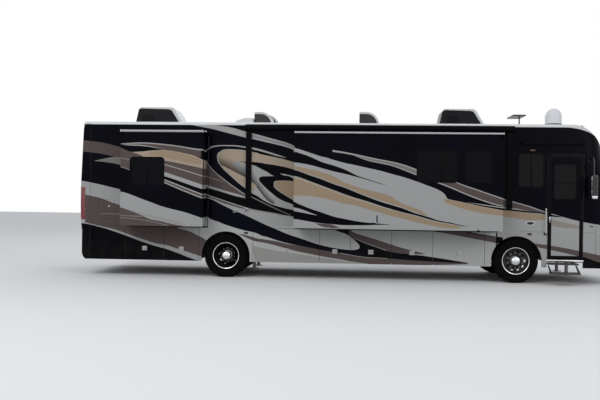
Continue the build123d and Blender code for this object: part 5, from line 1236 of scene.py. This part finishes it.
def roof_details():
    for k, (low, high) in enumerate(tall_parts("air_conditioners", 0.15)):
        slats = Piece()
        slat_x = (low[0] + 0.18, low[0] + 0.46)
        for side in (-1, 1):
            for j in range(slat_count):
                z = low[2] + 0.10 + slat_pitch * j
                place, _ = cast("air_conditioners", (low[0] + 0.31, side * 2.0, z), (0, -side, 0))
                if place is None:
                    continue
                back, front = place.y - 0.006, place.y + 0.006
                slats.block((slat_x[0], back, z - 0.004), (slat_x[1], front, z + 0.004), 0.002)
        slats.done(f"cooling_unit_slats_{k + 1}", black_trim)
        flat_x, top_z, foot_z = high[0] - 0.250, high[2], low[2] + 0.02
        outer = [(flat_x + x, top_z - z) for x, z in nose_outer]
        inner = [(flat_x + x, top_z - z) for x, z in nose_inner]
        outer = [(high[0] - 0.012, foot_z), *outer, (low[0] + 0.20, top_z - 0.016)]
        inner = [(high[0] - 0.075, foot_z), *inner, (low[0] + 0.20, top_z - 0.034)]
        highlight_strips(f"cooling_unit_highlights_{k + 1}", low, high, outer, inner)
    for k, (low, high) in enumerate(tall_parts("roof_vents", 0.2)):
        flat_x = low[0] + 0.35 * (high[0] - low[0])
        rise, reach = high[2] - low[2], high[0] - flat_x
        quarter = [pi / 2 * (1 - j / 12) for j in range(13)]
        lines = []
        for inset in (0.001, 0.046):
            arc = [(flat_x + (reach - inset) * cos(t), low[2] + (rise - inset) * sin(t)) for t in quarter]
            lines.append([(low[0], high[2] - inset), *arc])
        highlight_strips(f"vent_hood_highlights_{k + 1}", low, high, *lines)


# Cloth over each slide-out room, from the wall to the roller, which winds it in
topper_thick = 0.0012
topper_wall_z = 3.262
topper_far_y = 1.8425


def toppers():
    # Body, side, height of the roller's top
    for body, side, top in (("rear_slide", -1, 3.238), ("front_slide", -1, 3.228), ("left_slide", 1, 3.228)):
        low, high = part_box(body)
        x_low, x_high = low[0] + 0.045, high[0] - 0.045
        near, far = wall_y + 0.002, topper_far_y
        cloth = Piece()
        steps, width = 40, 10
        grid = []
        for i in range(steps + 1):
            x = x_low + (x_high - x_low) * i / steps
            row = []
            for j in range(width + 1):
                share = j / width
                hang = 0.014 * sin(pi * share) * (1 + 0.25 * sin(9 * x))
                sag = (1 - share) * (hang + 0.0015 * sin(23 * x + 5 * share)) if 0 < j < width else 0
                y = near + (far - near) * share
                z = topper_wall_z - (topper_wall_z - top - topper_thick) * share - sag
                row.append(cloth.bm.verts.new((x, side * y, z)))
            grid.append(row)
        for first, second in zip(grid, grid[1:]):
            for j in range(width):
                cloth.bm.faces.new((first[j], first[j + 1], second[j + 1], second[j]))
        made = cloth.done(f"{body}_topper", topper_cloth, angle=60)
        thick = made.modifiers.new("thick", "SOLIDIFY")
        thick.thickness = topper_thick
        thick.offset = 0
        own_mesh(made)
        rail = Piece()
        back, front = side * (wall_y - 0.002), side * (wall_y + 0.010)
        rail.block((x_low - 0.01, back, 3.250), (x_high + 0.01, front, 3.276), 0.004)
        rail.done(f"{body}_topper_rail", white_plastic)


# Seats: crowned cushions on the pedestals, with arm rests and head rests
pad_voxel = 0.012
pad_pressure = 4
pad_frames = 20


def swollen(obj, cap):
    """Fills a pad with air as cloth, moving no point by more than the cap."""
    scene = bpy.context.scene
    remesh = obj.modifiers.new("remesh", "REMESH")
    remesh.mode = "VOXEL"
    remesh.voxel_size = pad_voxel
    depsgraph = bpy.context.evaluated_depsgraph_get()
    obj.data = bpy.data.meshes.new_from_object(obj.evaluated_get(depsgraph))
    obj.modifiers.clear()
    start = [vert.co.copy() for vert in obj.data.vertices]
    cloth = obj.modifiers.new("cloth", "CLOTH")
    cloth.settings.use_pressure = True
    cloth.settings.uniform_pressure_force = pad_pressure
    cloth.settings.effector_weights.gravity = 0
    cloth.point_cache.frame_start = 1
    cloth.point_cache.frame_end = pad_frames
    for k in range(1, pad_frames + 1):
        scene.frame_set(k)
    depsgraph = bpy.context.evaluated_depsgraph_get()
    mesh = bpy.data.meshes.new_from_object(obj.evaluated_get(depsgraph))
    for vert, home in zip(mesh.vertices, start):
        move = vert.co - home
        if move.length > cap:
            vert.co = home + move * (cap / move.length)
    obj.modifiers.clear()
    obj.data = mesh
    scene.frame_set(1)


def pad(name, size, bevel, lean, at, cap=0.016):
    """A stuffed leather pad of a size, leaning back by an angle, its foot's middle at a place."""
    piece = Piece()
    piece.block((-size[0] / 2, -size[1] / 2, 0), (size[0] / 2, size[1] / 2, size[2]), bevel, 4)
    obj = piece.done(name, seat_leather)
    swollen(obj, cap)
    turn = Matrix.Translation(at) @ Matrix.Rotation(-radians(lean), 4, "Y")
    obj.data.transform(turn)
    smooth = obj.modifiers.new("smooth", "SUBSURF")
    smooth.levels = smooth.render_levels = 1
    obj.data.materials.clear()
    obj.data.materials.append(seat_leather)
    obj.data.shade_smooth()
    return obj


def seats():
    for name, x, y in (("driver", 4.430, 0.640), ("passenger", 3.840, -0.760)):
        lean, back_z = 12, 1.575
        pad(f"{name}_seat_cushion", (0.46, 0.47, 0.115), 0.045, 0, (x + 0.005, y, 1.462))
        back_x = x - 0.185
        pad(f"{name}_seat_back", (0.085, 0.45, 0.50), 0.036, lean, (back_x, y, back_z))
        head_x = back_x - sin(radians(lean)) * 0.53
        pad(f"{name}_head_rest", (0.075, 0.27, 0.145), 0.034, lean, (head_x, y, back_z + 0.525), 0.010)
        shell = Piece()
        shell.block((x - 0.15, y - 0.16, 1.168), (x + 0.15, y + 0.16, 1.40), 0.02)
        shell.block((x - 0.235, y - 0.24, 1.425), (x + 0.235, y + 0.24, 1.470), 0.02, 3)
        shell.block((x - 0.18, y - 0.18, 1.395), (x + 0.18, y + 0.18, 1.43), 0.008)
        shell.done(f"{name}_seat_base", dash_vinyl)
        arms = Piece()
        for side in (-1, 1):
            arm_y = y + side * 0.232
            arms.block((x - 0.20, arm_y - 0.021, 1.725), (x + 0.12, arm_y + 0.021, 1.770), 0.018, 3)
            arms.block((x - 0.215, arm_y - 0.012, 1.60), (x - 0.165, arm_y + 0.012, 1.75), 0.008)
        arms.done(f"{name}_seat_arms", dash_vinyl)
    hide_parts("front_seats")


rib_count = 9
rib_reach = 0.20


def step_mats():
    low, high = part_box("entry_step")
    mats = Piece()
    # Height of each tread, place of its back edge
    for z, y in ((0.440, -wall_y - 0.035), (0.250, -wall_y - 0.185)):
        for k in range(rib_count):
            row = y - 0.018 - k * rib_reach / rib_count
            place, _ = cast("entry_step", ((low[0] + high[0]) / 2, row, z + 0.12), (0, 0, -1))
            if place is None:
                continue
            mats.block(
                (low[0] + 0.02, row - 0.007, place.z - 0.001),
                (high[0] - 0.02, row + 0.007, place.z + 0.004), 0.002,
            )
    mats.done("step_ribs", step_rubber, "entry_step")


for make in (
    tyres, wheel_fittings, windows, entry_door, latches, seams, slide_seals, side_lamps, door_side_fittings,
    clearance_lamps, front_details, mirror_plates, roof_details, toppers, seats, step_mats,
):
    make()


# Floor, backdrop and light
floor_reach = 60
floor_lit, floor_seen = (0.42, 0.42, 0.42), (0.86, 0.86, 0.86)
sky_lit, sky_seen = ((0.93, 0.96, 1.0, 1), 0.62), ((1, 1, 1, 1), 1.0)


def stage():
    reach = floor_reach
    floor_mesh = bpy.data.meshes.new("floor")
    corners = [(-reach, -reach, 0), (reach, -reach, 0), (reach, reach, 0), (-reach, reach, 0)]
    floor_mesh.from_pydata(corners, [], [(0, 1, 2, 3)])
    floor = bpy.data.objects.new("floor", floor_mesh)
    bpy.context.scene.collection.objects.link(floor)
    made = Nodes("floor_pale", 0.9)
    made.set(Base_Color=made.mix(made.seen(), floor_lit, floor_seen), Specular_IOR_Level=0.0)
    floor_mesh.materials.append(made.mat)
    world = bpy.data.worlds.new("world")
    bpy.context.scene.world = world
    world.use_nodes = True
    sky = Tree(world.node_tree)
    mix = sky.add("ShaderNodeMixShader")
    sky.link(sky.seen(), mix.inputs[0])
    for (colour, power), socket in zip((sky_lit, sky_seen), mix.inputs[1:]):
        back = sky.add("ShaderNodeBackground")
        back.inputs[0].default_value = colour
        back.inputs[1].default_value = power
        sky.link(back.outputs[0], socket)
    sky.link(mix.outputs[0], sky.add("ShaderNodeOutputWorld").inputs[0])
    # Name, place, size, power, place that it faces
    for name, at, size, power, aim in (
        ("key", (-9, -15, 13), 10, 900, (0, 0, 1.5)),
        ("fill", (12, -12, 8), 9, 350, (2, 0, 1.5)),
        ("back", (0, 14, 12), 12, 400, (0, 0, 2)),
    ):
        data = bpy.data.lights.new(name, "AREA")
        data.size = size
        data.energy = power
        lamp = bpy.data.objects.new(name, data)
        bpy.context.scene.collection.objects.link(lamp)
        lamp.location = at
        lamp.rotation_euler = (Vector(aim) - Vector(at)).to_track_quat("-Z", "Y").to_euler()


stage()
